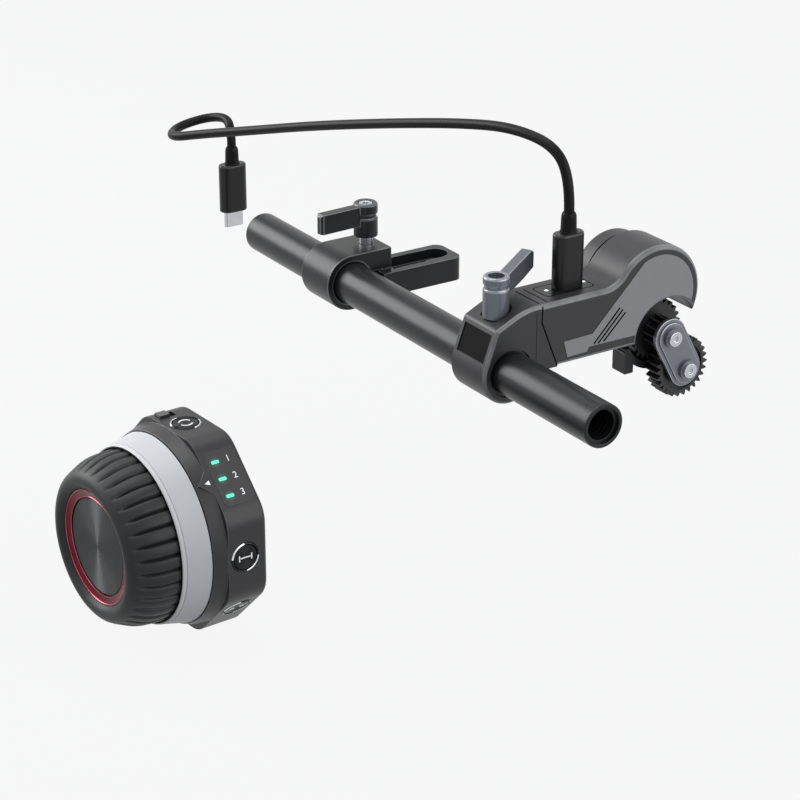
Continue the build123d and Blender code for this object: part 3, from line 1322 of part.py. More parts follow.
CONTROL_NODES = {
    "controller_body": controller_body,
    "controller_back": controller_back,
    "back_screws": back_screws,
    "tripod_insert": tripod_insert,
    "marking_ring": marking_ring,
    "knob_core": knob_core,
    "knob_grip": knob_grip,
    "red_ring": red_ring,
    "knob_cap": knob_cap,
    "knob_bearings": knob_bearings,
    "controller_board": controller_board,
    "battery": battery,
    "light_panel": light_panel,
    "indicator_lights": indicator_lights,
    "mode_button": lambda: push_button("mode_button"),
    "cal_button": lambda: push_button("cal_button"),
    "trim_button": lambda: push_button("trim_button"),
    "button_bezels": button_bezels,
    "button_switches": button_switches,
    "power_switch": power_switch,
}

os.makedirs("parts", exist_ok=True)
for node, make in NODES.items():
    save(node, make())
for node, make in CONTROL_NODES.items():
    save(node, Pos(CONTROL_X, CONTROL_Y, CONTROL_Z) * Rot(0, 0, CONTROL_YAW) * make())
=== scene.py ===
"""Follow focus unit: the look of its pieces, with their camera, floor and light."""

import json
from math import cos, exp, pi, radians, sin

import bmesh
import bpy
from mathutils import Matrix, Vector

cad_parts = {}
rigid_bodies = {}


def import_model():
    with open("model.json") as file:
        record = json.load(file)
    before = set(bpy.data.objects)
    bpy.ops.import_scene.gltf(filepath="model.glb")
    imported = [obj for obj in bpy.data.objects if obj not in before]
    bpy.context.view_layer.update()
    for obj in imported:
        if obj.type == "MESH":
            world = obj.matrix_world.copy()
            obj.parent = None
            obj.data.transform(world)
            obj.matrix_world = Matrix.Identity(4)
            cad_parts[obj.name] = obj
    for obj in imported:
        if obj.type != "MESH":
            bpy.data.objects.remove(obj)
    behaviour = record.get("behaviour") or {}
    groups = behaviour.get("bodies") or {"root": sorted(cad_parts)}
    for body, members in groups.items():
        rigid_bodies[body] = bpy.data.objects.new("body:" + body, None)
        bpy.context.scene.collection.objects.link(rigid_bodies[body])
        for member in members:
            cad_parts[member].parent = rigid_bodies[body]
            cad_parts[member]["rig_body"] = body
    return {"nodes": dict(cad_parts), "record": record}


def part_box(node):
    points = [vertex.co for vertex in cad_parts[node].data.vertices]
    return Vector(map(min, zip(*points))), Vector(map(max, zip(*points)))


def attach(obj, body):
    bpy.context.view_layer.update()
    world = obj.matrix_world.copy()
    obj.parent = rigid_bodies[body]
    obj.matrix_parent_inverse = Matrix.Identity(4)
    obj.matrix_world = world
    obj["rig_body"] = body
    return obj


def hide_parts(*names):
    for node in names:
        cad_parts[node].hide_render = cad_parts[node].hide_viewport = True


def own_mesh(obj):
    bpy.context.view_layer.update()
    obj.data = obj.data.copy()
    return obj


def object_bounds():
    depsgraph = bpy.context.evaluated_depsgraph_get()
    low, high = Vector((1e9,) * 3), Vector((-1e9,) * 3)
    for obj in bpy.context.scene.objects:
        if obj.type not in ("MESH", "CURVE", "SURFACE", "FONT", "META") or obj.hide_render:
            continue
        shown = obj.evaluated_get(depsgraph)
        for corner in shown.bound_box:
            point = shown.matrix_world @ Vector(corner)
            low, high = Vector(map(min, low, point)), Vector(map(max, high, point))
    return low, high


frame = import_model()
cad_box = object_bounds()
NODES = frame["nodes"]
SLOT_OF = {part["node"]: part["material_slot"] for part in frame["record"]["subparts"]}

# ---- drawings: lengths are in millimetres, except in the camera, floor, light and cable parts ----
MM = 0.001
TO_METRES = Matrix.Scale(MM, 4)
# the rod's axis is the Y axis of the main drawing, and this is the part's origin in it
ORIGIN = Vector((19.15, 153.75, -6.5))


def at(x, y, z):
    """A point of the main drawing, as metres in the part's frame."""
    return (Vector((x, y, z)) - ORIGIN) * MM


def lying(start, direction):
    """Lays a turned piece's own X axis along a direction, from a point of the main drawing."""
    turn = Vector(direction).to_track_quat("X", "Z").to_matrix().to_4x4()
    return Matrix.Translation(at(*start)) @ turn @ TO_METRES


# the hand unit has a drawing of its own: X runs back along the knob's axis from the marking
# ring's front, and the unit is turned a little about the vertical
HAND_TURN = Matrix.Rotation(radians(3.5), 4, "Z")
HAND = Matrix.Translation(at(-109.0, 115.3, -57.5)) @ HAND_TURN @ TO_METRES
FACET_REACH = 35.7

# the motor unit's front, with X to the right and Y up, and its top
MOTOR_FRONT_Y = 50.5
MOTOR_TOP_Z = 21.4
UPRIGHT = Matrix.Rotation(pi / 2, 4, "X")
MOTOR_FRONT = Matrix.Translation(at(0, MOTOR_FRONT_Y, 0)) @ UPRIGHT @ TO_METRES
MOTOR_TOP = Matrix.Translation(at(0, 0, MOTOR_TOP_Z)) @ TO_METRES

# turns a turned piece's X axis to its Z axis, so that it stands on a face
FACE_UP = Matrix.Rotation(-pi / 2, 4, "Y")

# each button's facet in degrees, its place along X and its shift along the facet
BUTTONS = {
    "mode_button": (90, 22.1, 0.4),
    "cal_button": (0, 21.6, 0.0),
    "trim_button": (-45, 22.2, 4.2),
}
# the facet of the three lamps, their place along X and their shifts along the facet
LAMP_FACET = 45
LIGHT_X = 20.2
LIGHT_ROWS = (6.25, 0.0, -6.25)


def on_facet(angle, x, shift):
    """Places a flat piece on a facet of the hand unit: its Z is the facet's outward normal."""
    turn = radians(angle)
    normal = Vector((0, -cos(turn), sin(turn)))
    along = Vector((0, sin(turn), cos(turn)))
    spot = Vector((x, 0, 0)) + normal * FACET_REACH + along * shift
    axes = Matrix(((1, 0, 0), along, normal)).transposed().to_4x4()
    return HAND @ Matrix.Translation(spot) @ axes


def button_axis(name):
    """Places a turned piece on a button's facet, its axis the button's own."""
    return on_facet(*BUTTONS[name]) @ FACE_UP


# ---- camera, floor and light, in metres and watts ----
CAMERA_PLACE = (-0.44851, -0.69895, 0.32064)
CAMERA_AZIMUTH = radians(32.912)
CAMERA_DROP = radians(23.814)
CAMERA_LENS = 108.59
SENSOR_WIDTH = 36
PAPER = "#ffffff"
FLOOR_GREY = "#8e9093"
FLOOR_Z = cad_box[0][2] - 0.0002
FLOOR_REACH = 12.0
# how far the floor is plain white to the eye; the rest takes light and shadow
FLOOR_GLOW = 0.9
SKY_FILL = "#eef1f6"
SKY_FILL_STRENGTH = 0.28
# name, place, target, width, height, power
SOFTBOXES = [
    ("top_softbox", (-0.10, 0.20, 0.95), (-0.02, 0.0, 0.0), 0.9, 0.6, 5.5),
    ("front_softbox", (0.45, -0.95, 0.42), (-0.02, 0.0, 0.0), 1.4, 1.1, 10.0),
    ("left_softbox", (-1.0, -0.15, 0.55), (-0.05, 0.0, 0.0), 0.5, 0.8, 0.6),
    ("back_softbox", (-0.60, 0.84, 0.50), (-0.10, 0.0, 0.0), 0.8, 0.7, 11.5),
]


def linear(colour):
    """An sRGB hex colour as linear values with full cover."""
    values = [int(colour[i:i + 2], 16) / 255 for i in (1, 3, 5)]
    return [v / 12.92 if v <= 0.04045 else ((v + 0.055) / 1.055) ** 2.4 for v in values] + [1.0]


def put(tree, kind, inputs=None, **settings):
    """Adds a node with its settings, values and links."""
    made = tree.nodes.new("ShaderNode" + kind)
    for key, value in settings.items():
        setattr(made, key, value)
    for key, value in (inputs or {}).items():
        if isinstance(value, bpy.types.NodeSocket):
            tree.links.new(value, made.inputs[key])
        else:
            made.inputs[key].default_value = value
    return made


def aim(thing, place, target):
    """Sets a camera or lamp at a place, turned to its target."""
    thing.location = place
    direction = Vector(target) - Vector(place)
    thing.rotation_euler = direction.to_track_quat("-Z", "Y").to_euler()
    bpy.context.scene.collection.objects.link(thing)


def make_camera():
    camera = bpy.data.objects.new("camera", bpy.data.cameras.new("camera"))
    camera.data.lens = CAMERA_LENS
    camera.data.sensor_width = SENSOR_WIDTH
    flat = cos(CAMERA_DROP)
    ahead = (sin(CAMERA_AZIMUTH) * flat, cos(CAMERA_AZIMUTH) * flat, -sin(CAMERA_DROP))
    aim(camera, CAMERA_PLACE, Vector(CAMERA_PLACE) + Vector(ahead))
    bpy.context.scene.camera = camera
    bpy.context.scene.view_settings.view_transform = "Standard"


def seen_directly(tree):
    """1 for rays from the camera, mirrors and glass, 0 for light that falls on the object."""
    path = put(tree, "LightPath").outputs
    seen = {0: path["Is Camera Ray"], 1: path["Is Glossy Ray"]}
    first = put(tree, "Math", seen, operation="MAXIMUM").outputs[0]
    seen = {0: first, 1: path["Is Transmission Ray"]}
    return put(tree, "Math", seen, operation="MAXIMUM").outputs[0]


def make_world():
    """White paper to the eye, and a weak even fill on the object."""
    world = bpy.data.worlds.new("studio")
    bpy.context.scene.world = world
    world.use_nodes = True
    tree = world.node_tree
    tree.nodes.clear()
    paper = put(tree, "Background", {"Color": linear(PAPER), "Strength": 1.0})
    fill = put(tree, "Background", {"Color": linear(SKY_FILL), "Strength": SKY_FILL_STRENGTH})
    mix = put(tree, "MixShader", {0: seen_directly(tree), 1: fill.outputs[0], 2: paper.outputs[0]})
    put(tree, "OutputWorld", {0: mix.outputs[0]})


def make_floor():
    """A sheet of paper that is nearly white to the eye and keeps the object's shadow."""
    shape = bmesh.new()
    bmesh.ops.create_grid(shape, x_segments=1, y_segments=1, size=FLOOR_REACH)
    bmesh.ops.translate(shape, verts=shape.verts, vec=(0, 0, FLOOR_Z))
    mesh = bpy.data.meshes.new("floor")
    shape.to_mesh(mesh)
    shape.free()
    floor = bpy.data.objects.new("floor", mesh)
    bpy.context.scene.collection.objects.link(floor)
    material = bpy.data.materials.new("floor_paper")
    material.use_nodes = True
    tree = material.node_tree
    tree.nodes.clear()
    paper = put(tree, "BsdfDiffuse", {"Color": linear(FLOOR_GREY)})
    white = put(tree, "Emission", {"Color": linear(PAPER), "Strength": 1.0})
    share = put(tree, "Math", {0: seen_directly(tree), 1: FLOOR_GLOW}, operation="MULTIPLY")
    lit = put(tree, "MixShader", {0: share.outputs[0], 1: paper.outputs[0], 2: white.outputs[0]})
    put(tree, "OutputMaterial", {0: lit.outputs[0]})
    floor.data.materials.append(material)


def make_softbox(name, place, target, width, height, power):
    light = bpy.data.lights.new(name, "AREA")
    light.shape = "RECTANGLE"
    light.size = width
    light.size_y = height
    light.energy = power
    aim(bpy.data.objects.new(name, light), place, target)


make_camera()
make_world()
make_floor()
for softbox in SOFTBOXES:
    make_softbox(*softbox)

# ---- finishes ----
MATERIALS = {}
# size of the soft unevenness of tone
CLOUD_SIZE = 9
# the values between which nearly all of a noise lies
NOISE_LOW, NOISE_HIGH = 0.3, 0.7
# how far the grain shifts the roughness, as a share of it
ROUGH_SPREAD = 0.03
# how much paler the peaks of the grain are, as a share of the unevenness of tone
PEAK_TONE = 1.5
# unevenness at which the painted highlight on an edge is least and most, and the least as a share
# of the most
HIGHLIGHT_LOW, HIGHLIGHT_HIGH = 0.25, 0.6
LEAST_HIGHLIGHT = 0.45
LACQUER_ROUGH = 0.06


def shade(colour, share):
    """A linear colour made darker or paler."""
    return [min(1.0, v * share) for v in colour[:3]] + [1.0]


def light_behind(tree, spot, centres, reach):
    """1 at any of the centres, falling to 0 at the reach."""
    near = None
    for centre in centres:
        gap = put(tree, "VectorMath", {0: spot, 1: tuple(centre)}, operation="DISTANCE")
        ends = {"From Min": 0.0, "From Max": reach * MM, "To Min": 1.0, "To Max": 0.0}
        fall = put(
            tree,
            "MapRange",
            {"Value": gap.outputs["Value"], **ends},
            interpolation_type="SMOOTHERSTEP",
        ).outputs[0]
        if near is None:
            near = fall
        else:
            near = put(tree, "Math", {0: near, 1: fall}, operation="MAXIMUM").outputs[0]
    return near


def tool_marks(tree, spot, place, pitch):
    """Rings round a turned piece's axis, and the direction across them."""
    axis = tuple((place.to_3x3() @ Vector((1, 0, 0))).normalized())
    centre = tuple(place.translation)
    away = put(tree, "VectorMath", {0: spot, 1: centre}, operation="SUBTRACT").outputs[0]
    around = put(tree, "VectorMath", {0: away, 1: axis}, operation="CROSS_PRODUCT").outputs[0]
    radius = put(tree, "VectorMath", {0: around}, operation="LENGTH").outputs["Value"]
    rate = 2 * pi / (pitch * MM)
    turns = put(tree, "Math", {0: radius, 1: rate}, operation="MULTIPLY").outputs[0]
    wave = put(tree, "Math", {0: turns}, operation="SINE").outputs[0]
    across = put(tree, "VectorMath", {0: around, 1: axis}, operation="CROSS_PRODUCT").outputs[0]
    return wave, put(tree, "VectorMath", {0: across}, operation="NORMALIZE").outputs[0]


def finish(
    name,
    base,
    rough,
    grain,
    relief=0.006,
    tone=0.12,
    metallic=0.0,
    gloss=0.5,
    coat=0.0,
    stretch=(1, 1, 1),
    edge_highlight=None,
    edge_highlight_share=0.7,
    glow=0.0,
    halo=None,
    turned=None,
    anisotropic=0.0,
):
    """A finish made of a fine grain, a soft unevenness of tone, and a highlight painted on marked
    edges.

    The grain's size, its relief, the halo's reach and the pitch of tool marks are in millimetres.
    The edge highlight is a paler colour painted on marked edges as a highlight, and its share how
    much of it shows. A halo is a light behind the surface: its centres, reach, colour and strength.
    Turned is a lathe's axis and pitch.
    """
    material = bpy.data.materials.new(name)
    material.use_nodes = True
    tree = material.node_tree
    tree.nodes.clear()
    spot = put(tree, "TexCoord").outputs["Object"]
    scale = [share / (grain * MM) for share in stretch]
    close = put(tree, "Mapping", {"Vector": spot, "Scale": scale}).outputs[0]
    specks = {"Vector": close, "Scale": 1.0, "Detail": 3.0}
    height = put(tree, "TexNoise", specks).outputs["Fac"]
    clouds = {"Vector": spot, "Scale": 1 / (CLOUD_SIZE * MM), "Detail": 2.0}
    cloud = put(tree, "TexNoise", clouds).outputs["Fac"]
    whole = {"From Min": NOISE_LOW, "From Max": NOISE_HIGH}
    uneven = put(tree, "MapRange", {"Value": cloud, **whole}).outputs[0]

    colour = linear(base)
    mottled = {0: uneven, 6: shade(colour, 1 - tone), 7: shade(colour, 1 + tone)}
    shown = put(tree, "Mix", mottled, data_type="RGBA").outputs[2]
    speckled = {0: height, 6: shown, 7: shade(colour, 1 + PEAK_TONE * tone)}
    shown = put(tree, "Mix", speckled, data_type="RGBA").outputs[2]
    spread = ROUGH_SPREAD * rough
    ends = {"To Min": rough - spread, "To Max": rough + spread}
    roughness = put(tree, "MapRange", {"Value": height, **whole, **ends}).outputs[0]
    # painted highlight: marked edges are mixed towards a paler colour, more so where the unevenness
    # of tone is high
    if edge_highlight:
        edge = put(tree, "Attribute", attribute_name="edge").outputs["Fac"]
        reach = {"From Min": HIGHLIGHT_LOW, "From Max": HIGHLIGHT_HIGH}
        ends = {"To Min": LEAST_HIGHLIGHT * edge_highlight_share, "To Max": edge_highlight_share}
        painted_highlight = put(tree, "MapRange", {"Value": cloud, **reach, **ends}).outputs[0]
        amount = put(tree, "Math", {0: edge, 1: painted_highlight}, operation="MULTIPLY").outputs[0]
        highlit_edges = {0: amount, 6: shown, 7: linear(edge_highlight)}
        shown = put(tree, "Mix", highlit_edges, data_type="RGBA").outputs[2]

    surface = {
        "Base Color": shown,
        "Roughness": roughness,
        "Metallic": metallic,
        "Specular IOR Level": gloss,
        "Coat Weight": coat,
        "Coat Roughness": LACQUER_ROUGH,
        "Anisotropic": anisotropic,
    }
    if glow:
        surface["Emission Color"] = colour
        surface["Emission Strength"] = glow
    if halo:
        centres, reach, tint, strength = halo
        lit = {0: light_behind(tree, spot, centres, reach), 6: (0, 0, 0, 1), 7: linear(tint)}
        surface["Emission Color"] = put(tree, "Mix", lit, data_type="RGBA").outputs[2]
        surface["Emission Strength"] = strength
    if turned:
        # the marks run round the axis, so the light is drawn out across them
        wave, surface["Tangent"] = tool_marks(tree, spot, *turned)
        height = put(tree, "Math", {0: wave, 1: height}, operation="ADD").outputs[0]
    bump = put(tree, "Bump", {"Height": height, "Distance": relief * MM, "Strength": 1.0})
    surface["Normal"] = bump.outputs[0]
    shader = put(tree, "BsdfPrincipled", surface)
    put(tree, "OutputMaterial", {0: shader.outputs[0]})
    MATERIALS[name] = material


# in each finish below, the paler edge colour is a highlight painted on marked edges
# metals
# black anodised aluminium, bead blasted: satin, with a faint sparkle and a highlight painted on its
# edges
finish(
    "black_anodised",
    "#1d1e20",
    0.33,
    grain=0.35,
    relief=0.0006,
    tone=0.06,
    metallic=0.4,
    gloss=0.4,
    edge_highlight="#808286",
)
# hard anodised aluminium in blue grey: a soft metal sheen
finish(
    "gunmetal_anodised",
    "#646971",
    0.28,
    grain=0.35,
    relief=0.0008,
    tone=0.05,
    metallic=0.45,
    edge_highlight="#b4b9c0",
)
# clear anodised aluminium, sanded: dull and slightly streaked
finish(
    "link_grey",
    "#6e7178",
    0.36,
    grain=0.5,
    relief=0.002,
    tone=0.06,
    metallic=0.7,
    stretch=(0.3, 1, 1),
    edge_highlight="#c2c5ca",
)
# stainless steel, turned: bright with fine streaks
finish(
    "screw_steel",
    "#b4b7bc",
    0.22,
    grain=0.4,
    relief=0.002,
    metallic=1.0,
    stretch=(1, 3, 3),
    edge_highlight="#e6e7ea",
)
# brass, turned: warm yellow, softly mirrored
finish("brass", "#b8934f", 0.30, grain=0.4, relief=0.002, metallic=1.0, edge_highlight="#e0c68c")
# steel, nickel plated: a smooth bright mirror
finish("connector_steel", "#b9bbc0", 0.18, grain=0.5, relief=0.001, metallic=1.0, edge_highlight="#e4e5e8")
# aluminium, diamond cut and dyed red: deep red, with a highlight painted on its lips
finish(
    "red_anodised",
    "#5c1120",
    0.24,
    grain=0.4,
    relief=0.001,
    tone=0.05,
    metallic=0.9,
    edge_highlight="#b0606a",
    edge_highlight_share=0.8,
)
# aluminium, spun and dyed black: rings that draw the light into a sheaf; real ones are finer,
# and these are as coarse as they need to be to show
finish(
    "spun_black",
    "#47494b",
    0.50,
    grain=0.4,
    relief=0.003,
    tone=0.04,
    metallic=1.0,
    turned=(HAND, 0.45),
    anisotropic=0.97,
)
# steel, dark chrome plated: nearly black, with reflections painted on as bright arcs
finish(
    "bezel_chrome",
    "#26272a",
    0.18,
    grain=1.0,
    relief=0.0003,
    metallic=1.0,
    edge_highlight="#e6e8ea",
    edge_highlight_share=1.0,
)
# bearing steel, ground: even and bright
finish("bearing_steel", "#a3a6ab", 0.25, grain=0.4, relief=0.003, metallic=1.0)
# steel sheet, zinc plated: a duller grey metal
finish("motor_steel", "#83868b", 0.34, grain=0.6, relief=0.005, metallic=1.0)

# plastics and rubber
# glass-filled nylon from a spark-eroded mould: matte with a pebbled grain
finish(
    "housing_black",
    "#242427",
    0.40,
    grain=0.45,
    relief=0.004,
    tone=0.06,
    gloss=0.4,
    edge_highlight="#8a8b8d",
    edge_highlight_share=0.75,
)
# the same nylon on the hand unit: a little paler, with a fainter highlight painted on its edges
finish(
    "hand_black",
    "#29292b",
    0.38,
    grain=0.45,
    relief=0.004,
    tone=0.06,
    gloss=0.35,
    edge_highlight="#6a6b6f",
    edge_highlight_share=0.5,
)
# the same nylon darkened as painted shade on the clamp's leaning side, with a finer grain and
# hardly any shine
finish("cheek_shade", "#0e0e10", 0.45, grain=0.3, relief=0.003, tone=0.05, gloss=0.05)
# acetal, machined: dark and waxy
finish("gear_black", "#1a1a1c", 0.36, grain=0.4, relief=0.003, gloss=0.4, edge_highlight="#66676a")
# soft PVC jacket, extruded: smooth and slightly waxy
finish("cable_black", "#0a0a0b", 0.40, grain=0.6, relief=0.0005, tone=0.08, gloss=0.12)
# ABS, moulded: satin
finish(
    "plug_black",
    "#101012",
    0.28,
    grain=0.8,
    relief=0.0003,
    tone=0.03,
    gloss=0.3,
    edge_highlight="#3c3d40",
)
# ABS, moulded and polished: a deep lacquered black
finish("button_black", "#121214", 0.12, grain=1.0, relief=0.0005, coat=0.6, edge_highlight="#3c3d40")
# the same caps with fine turned rings in their moulds, each round its own button's centre; the
# rings are drawn coarser than real ones, so that they show
for button in BUTTONS:
    finish(
        button + "_spun",
        "#1f2022",
        0.40,
        grain=0.4,
        relief=0.002,
        metallic=0.8,
        turned=(button_axis(button), 0.35),
        anisotropic=0.9,
    )
# silicone rubber, moulded: matte, with a dusty softness
finish("grip_rubber", "#1f2122", 0.48, grain=0.5, relief=0.006, tone=0.10, gloss=0.28)
# polycarbonate, moulded with a fine texture to be written on: pale, even and matte
finish(
    "ring_grey",
    "#bec0c4",
    0.45,
    grain=0.35,
    relief=0.003,
    tone=0.03,
    gloss=0.3,
    edge_highlight="#cdcfd3",
    edge_highlight_share=0.8,
)
# polycarbonate window, smoked: deep gloss
finish(
    "panel_black",
    "#1c1d1e",
    0.20,
    grain=1.5,
    relief=0.0005,
    tone=0.04,
    gloss=0.2,
    edge_highlight="#4a4b4d",
)
# the same window over the hand unit's lamps, which light it from behind a little way round each
finish(
    "lamp_panel",
    "#3a393a",
    0.32,
    grain=1.5,
    relief=0.0005,
    tone=0.03,
    gloss=0.3,
    halo=(
        [on_facet(LAMP_FACET, LIGHT_X, row).translation for row in LIGHT_ROWS],
        2.6,
        "#0f6a55",
        0.8,
    ),
)
# clear acrylic light pipe, lit from behind: even white
finish("light_white", "#eef6f4", 0.25, grain=0.6, glow=1.0)
# green acrylic light window, lit: even mint green
finish("light_green", "#4fdcae", 0.25, grain=0.6, glow=0.9)

# paint, print and films
# aluminium plate, spray painted: even satin grey
finish(
    "accent_grey",
    "#7c7d80",
    0.42,
    grain=0.3,
    relief=0.002,
    tone=0.04,
    metallic=0.1,
    edge_highlight="#a4a5a8",
)
# circuit board under solder mask: glossy green, uneven over its tracks
finish("board_green", "#1f5a3c", 0.38, grain=0.8, relief=0.010, tone=0.20)
# shrink film round a battery cell: smooth blue gloss
finish("battery_wrap", "#33558c", 0.30, grain=1.5, relief=0.010, tone=0.10)
# white ink, screen printed: flat and even, with a faint painted glow
finish("white_ink_glow", "#eceef0", 0.50, grain=0.4, relief=0.004, tone=0.03, glow=0.12)
# the gap where two shells meet, and painted shade in slots and along a crease: black, without any
# shine
finish("seam_shadow", "#060606", 0.70, grain=0.4, relief=0.0005, gloss=0.0)

for node, thing in NODES.items():
    thing.data.materials.clear()
    thing.data.materials.append(MATERIALS[SLOT_OF[node]])

# ---- making pieces ----
# points nearer than this are one point: in a CAD mesh, which is in metres, and in a piece that
# is drawn here
CAD_DOUBLE = 0.003 * MM
DRAWN_DOUBLE = 0.001
# flat faces that differ by less than this are one face
SAME_PLANE = radians(0.5)
# edges sharper than this are softened
SOFTEN_FROM = radians(34)
# edges from these angles on are shaded sharp, on most pieces and on pieces kept as drawn
SHARP_FROM = radians(40)
SHARP_FROM_AS_DRAWN = radians(30)
# thickness of a print or a seam line, and of the deeper print on a button's dished cap
FILM = 0.05
BUTTON_FILM = 0.35


def settle(name, shape, node, finished=None, stands_for=True, sharp=SHARP_FROM):
    """Makes an object of a bmesh; it rides on the node's body and takes its finish."""
    for face in shape.faces:
        face.smooth = True
    for edge in shape.edges:
        if len(edge.link_faces) == 2:
            edge.smooth = edge.calc_face_angle(0) < sharp
    mesh = bpy.data.meshes.new(name)
    shape.to_mesh(mesh)
    shape.free()
    piece = bpy.data.objects.new(name, mesh)
    bpy.context.scene.collection.objects.link(piece)
    mesh.materials.append(MATERIALS[finished or SLOT_OF[node]])
    even = piece.modifiers.new("even_normals", "WEIGHTED_NORMAL")
    even.keep_sharp = True
    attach(piece, NODES[node]["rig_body"])
    if stands_for:
        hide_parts(node)
    return piece


def mark_painted_highlights(shape, faces):
    """Marks faces for the highlight that the finish paints on edges."""
    layer = shape.loops.layers.float.get("edge") or shape.loops.layers.float.new("edge")
    for face in faces:
        for corner in face.loops:
            corner[layer] = 1.0


def merged(node):
    """The CAD node's mesh, a copy with its doubles merged."""
    shape = bmesh.new()
    shape.from_mesh(NODES[node].data)
    bmesh.ops.remove_doubles(shape, verts=shape.verts, dist=CAD_DOUBLE)
    return shape


def as_drawn(node, rim=None, finished=None):
    """A piece with the node's own shape, shaded smooth where it is round; a rim can be marked for a
    painted highlight.
    """
    shape = merged(node)
    if rim:
        mark_painted_highlights(shape, [face for face in shape.faces if rim(face)])
    return settle(node + "_shape", shape, node, finished, sharp=SHARP_FROM_AS_DRAWN)


def rounded(node, width, segments=2, finished=None):
    """A piece with the node's shape, its flat faces made whole and its edges softened and marked
    for a painted highlight.
    """
    shape = merged(node)
    bmesh.ops.dissolve_limit(
        shape,
        angle_limit=SAME_PLANE,
        verts=shape.verts,
        edges=shape.edges,
        use_dissolve_boundaries=False,
        delimit={"NORMAL"},
    )
    inner = [edge for edge in shape.edges if len(edge.link_faces) == 2]
    softened = bmesh.ops.bevel(
        shape,
        geom=[edge for edge in inner if edge.calc_face_angle(0) > SOFTEN_FROM],
        offset=width * MM,
        offset_type="OFFSET",
        segments=segments,
        profile=0.5,
        affect="EDGES",
        clamp_overlap=False,
        material=-1,
    )
    mark_painted_highlights(shape, softened["faces"])
    return settle(node + "_shape", shape, node, finished)


def spun(
    name,
    profile,
    place,
    node,
    steps,
    closed=True,
    painted_highlight=None,
    ripple=None,
    finished=None,
    stands_for=True,
):
    """Turns a profile of (along, radius) pairs round its X axis and puts it in place.

    The highlight test tells by a face's middle whether it takes a painted highlight. Ripple gives
    how far a point moves outwards, by its place along the axis, its radius and its angle.
    """
    shape = bmesh.new()
    points = [shape.verts.new((along, 0, radius)) for along, radius in profile]
    pairs = list(zip(points, points[1:]))
    if closed:
        pairs.append((points[-1], points[0]))
    edges = [shape.edges.new(pair) for pair in pairs]
    bmesh.ops.spin(
        shape,
        geom=points + edges,
        cent=(0, 0, 0),
        axis=(1, 0, 0),
        angle=2 * pi,
        steps=steps,
        use_merge=True,
    )
    bmesh.ops.remove_doubles(shape, verts=shape.verts, dist=DRAWN_DOUBLE)
    if painted_highlight:
        mark_painted_highlights(shape, [face for face in shape.faces if painted_highlight(face.calc_center_median())])
    if ripple:
        for vert in shape.verts:
            out = vert.co.yz
            if out.length > 0:
                share = ripple(vert.co.x, out.length, out.angle_signed(Vector((0, 1))))
                vert.co.yz = out * (1 + share / out.length)
    bmesh.ops.recalc_face_normals(shape, faces=shape.faces)
    bmesh.ops.transform(shape, matrix=place, verts=shape.verts)
    return settle(name, shape, node, finished, stands_for)


def inlay(name, outline, place, node, finished, thick=FILM):
    """A thin flat piece that lies on a face, such as a printed mark or a seam line."""
    shape = bmesh.new()
    face = shape.faces.new([shape.verts.new((x, y, -thick / 2)) for x, y in outline])
    grown = bmesh.ops.extrude_face_region(shape, geom=[face])
    top = [item for item in grown["geom"] if isinstance(item, bmesh.types.BMVert)]
    bmesh.ops.translate(shape, verts=top, vec=(0, 0, thick))
    bmesh.ops.recalc_face_normals(shape, faces=shape.faces)
    bmesh.ops.transform(shape, matrix=place, verts=shape.verts)
    return settle(name, shape, node, finished, stands_for=False)


def line(start, end, width):
    """Outline of a straight mark."""
    start, end = Vector(start), Vector(end)
    side = (end - start).orthogonal().normalized() * width / 2
    return [start + side, start - side, end - side, end + side]


# ---- cable, in metres ----
CABLE_RADIUS = 0.0018
ROUTE = [
    (0.01035, -0.09325, 0.0545),
    (0.01035, -0.09325, 0.0651),
    (0.00945, -0.08635, 0.0754),
    (0.00585, -0.06675, 0.0774),
    (0.00235, -0.04175, 0.0730),
    (-0.00365, -0.00575, 0.0646),
    (-0.01035, 0.03625, 0.0538),
    (-0.01675, 0.07425, 0.0429),
    (-0.02265, 0.09985, 0.0359),
    (-0.02895, 0.11725, 0.0308),
    (-0.01955, 0.12825, 0.0307),
    (-0.00735, 0.12645, 0.0331),
    (-0.00355, 0.11585, 0.0354),
    (-0.00575, 0.10835, 0.0323),
    (-0.00575, 0.10835, 0.0255),
]
# the sleeve that keeps the cable from kinking, from the plug's body outwards, in millimetres
SLEEVE_PROFILE = [
    (19.4, 0.6),
    (19.4, 3.0),
    (19.9, 3.0),
    (20.3, 2.75),
    (24.9, 2.62),
    (25.9, 2.45),
    (26.5, 2.1),
    (26.5, 1.7),
    (26.3, 0.6),
]


def make_cable():
    """The jacket, a round thread through the route with closed ends."""
    curve = bpy.data.curves.new("cable_run", "CURVE")
    curve.dimensions = "3D"
    thread = curve.splines.new("NURBS")
    thread.points.add(len(ROUTE) - 1)
    for point, place in zip(thread.points, ROUTE):
        point.co = (*place, 1.0)
    thread.order_u = 3
    thread.use_endpoint_u = True
    thread.resolution_u = 16
    curve.bevel_depth = CABLE_RADIUS
    curve.bevel_resolution = 6
    curve.use_fill_caps = True
    run = bpy.data.objects.new("cable_run", curve)
    bpy.context.scene.collection.objects.link(run)
    curve.materials.append(MATERIALS["cable_black"])
    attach(run, "motor_unit")
    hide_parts("cable")
    return run


def make_plug(end, foot):
    """The moulded body, the sleeve and the metal shell at one end of the cable."""
    upwards = lying(foot, (0, 0, 1))
    body = rounded(end, 0.45, segments=3)
    sleeve = spun(end + "_sleeve", SLEEVE_PROFILE, upwards, end + "_relief", steps=48)
    tongue = rounded(end + "_shell", 0.12)
    return [body, sleeve, tongue]


cable = make_cable()
near_end = make_plug("motor_plug", (29.5, 60.5, MOTOR_TOP_Z))
far_end = make_plug("far_plug", (13.4, 262.1, -7.6))

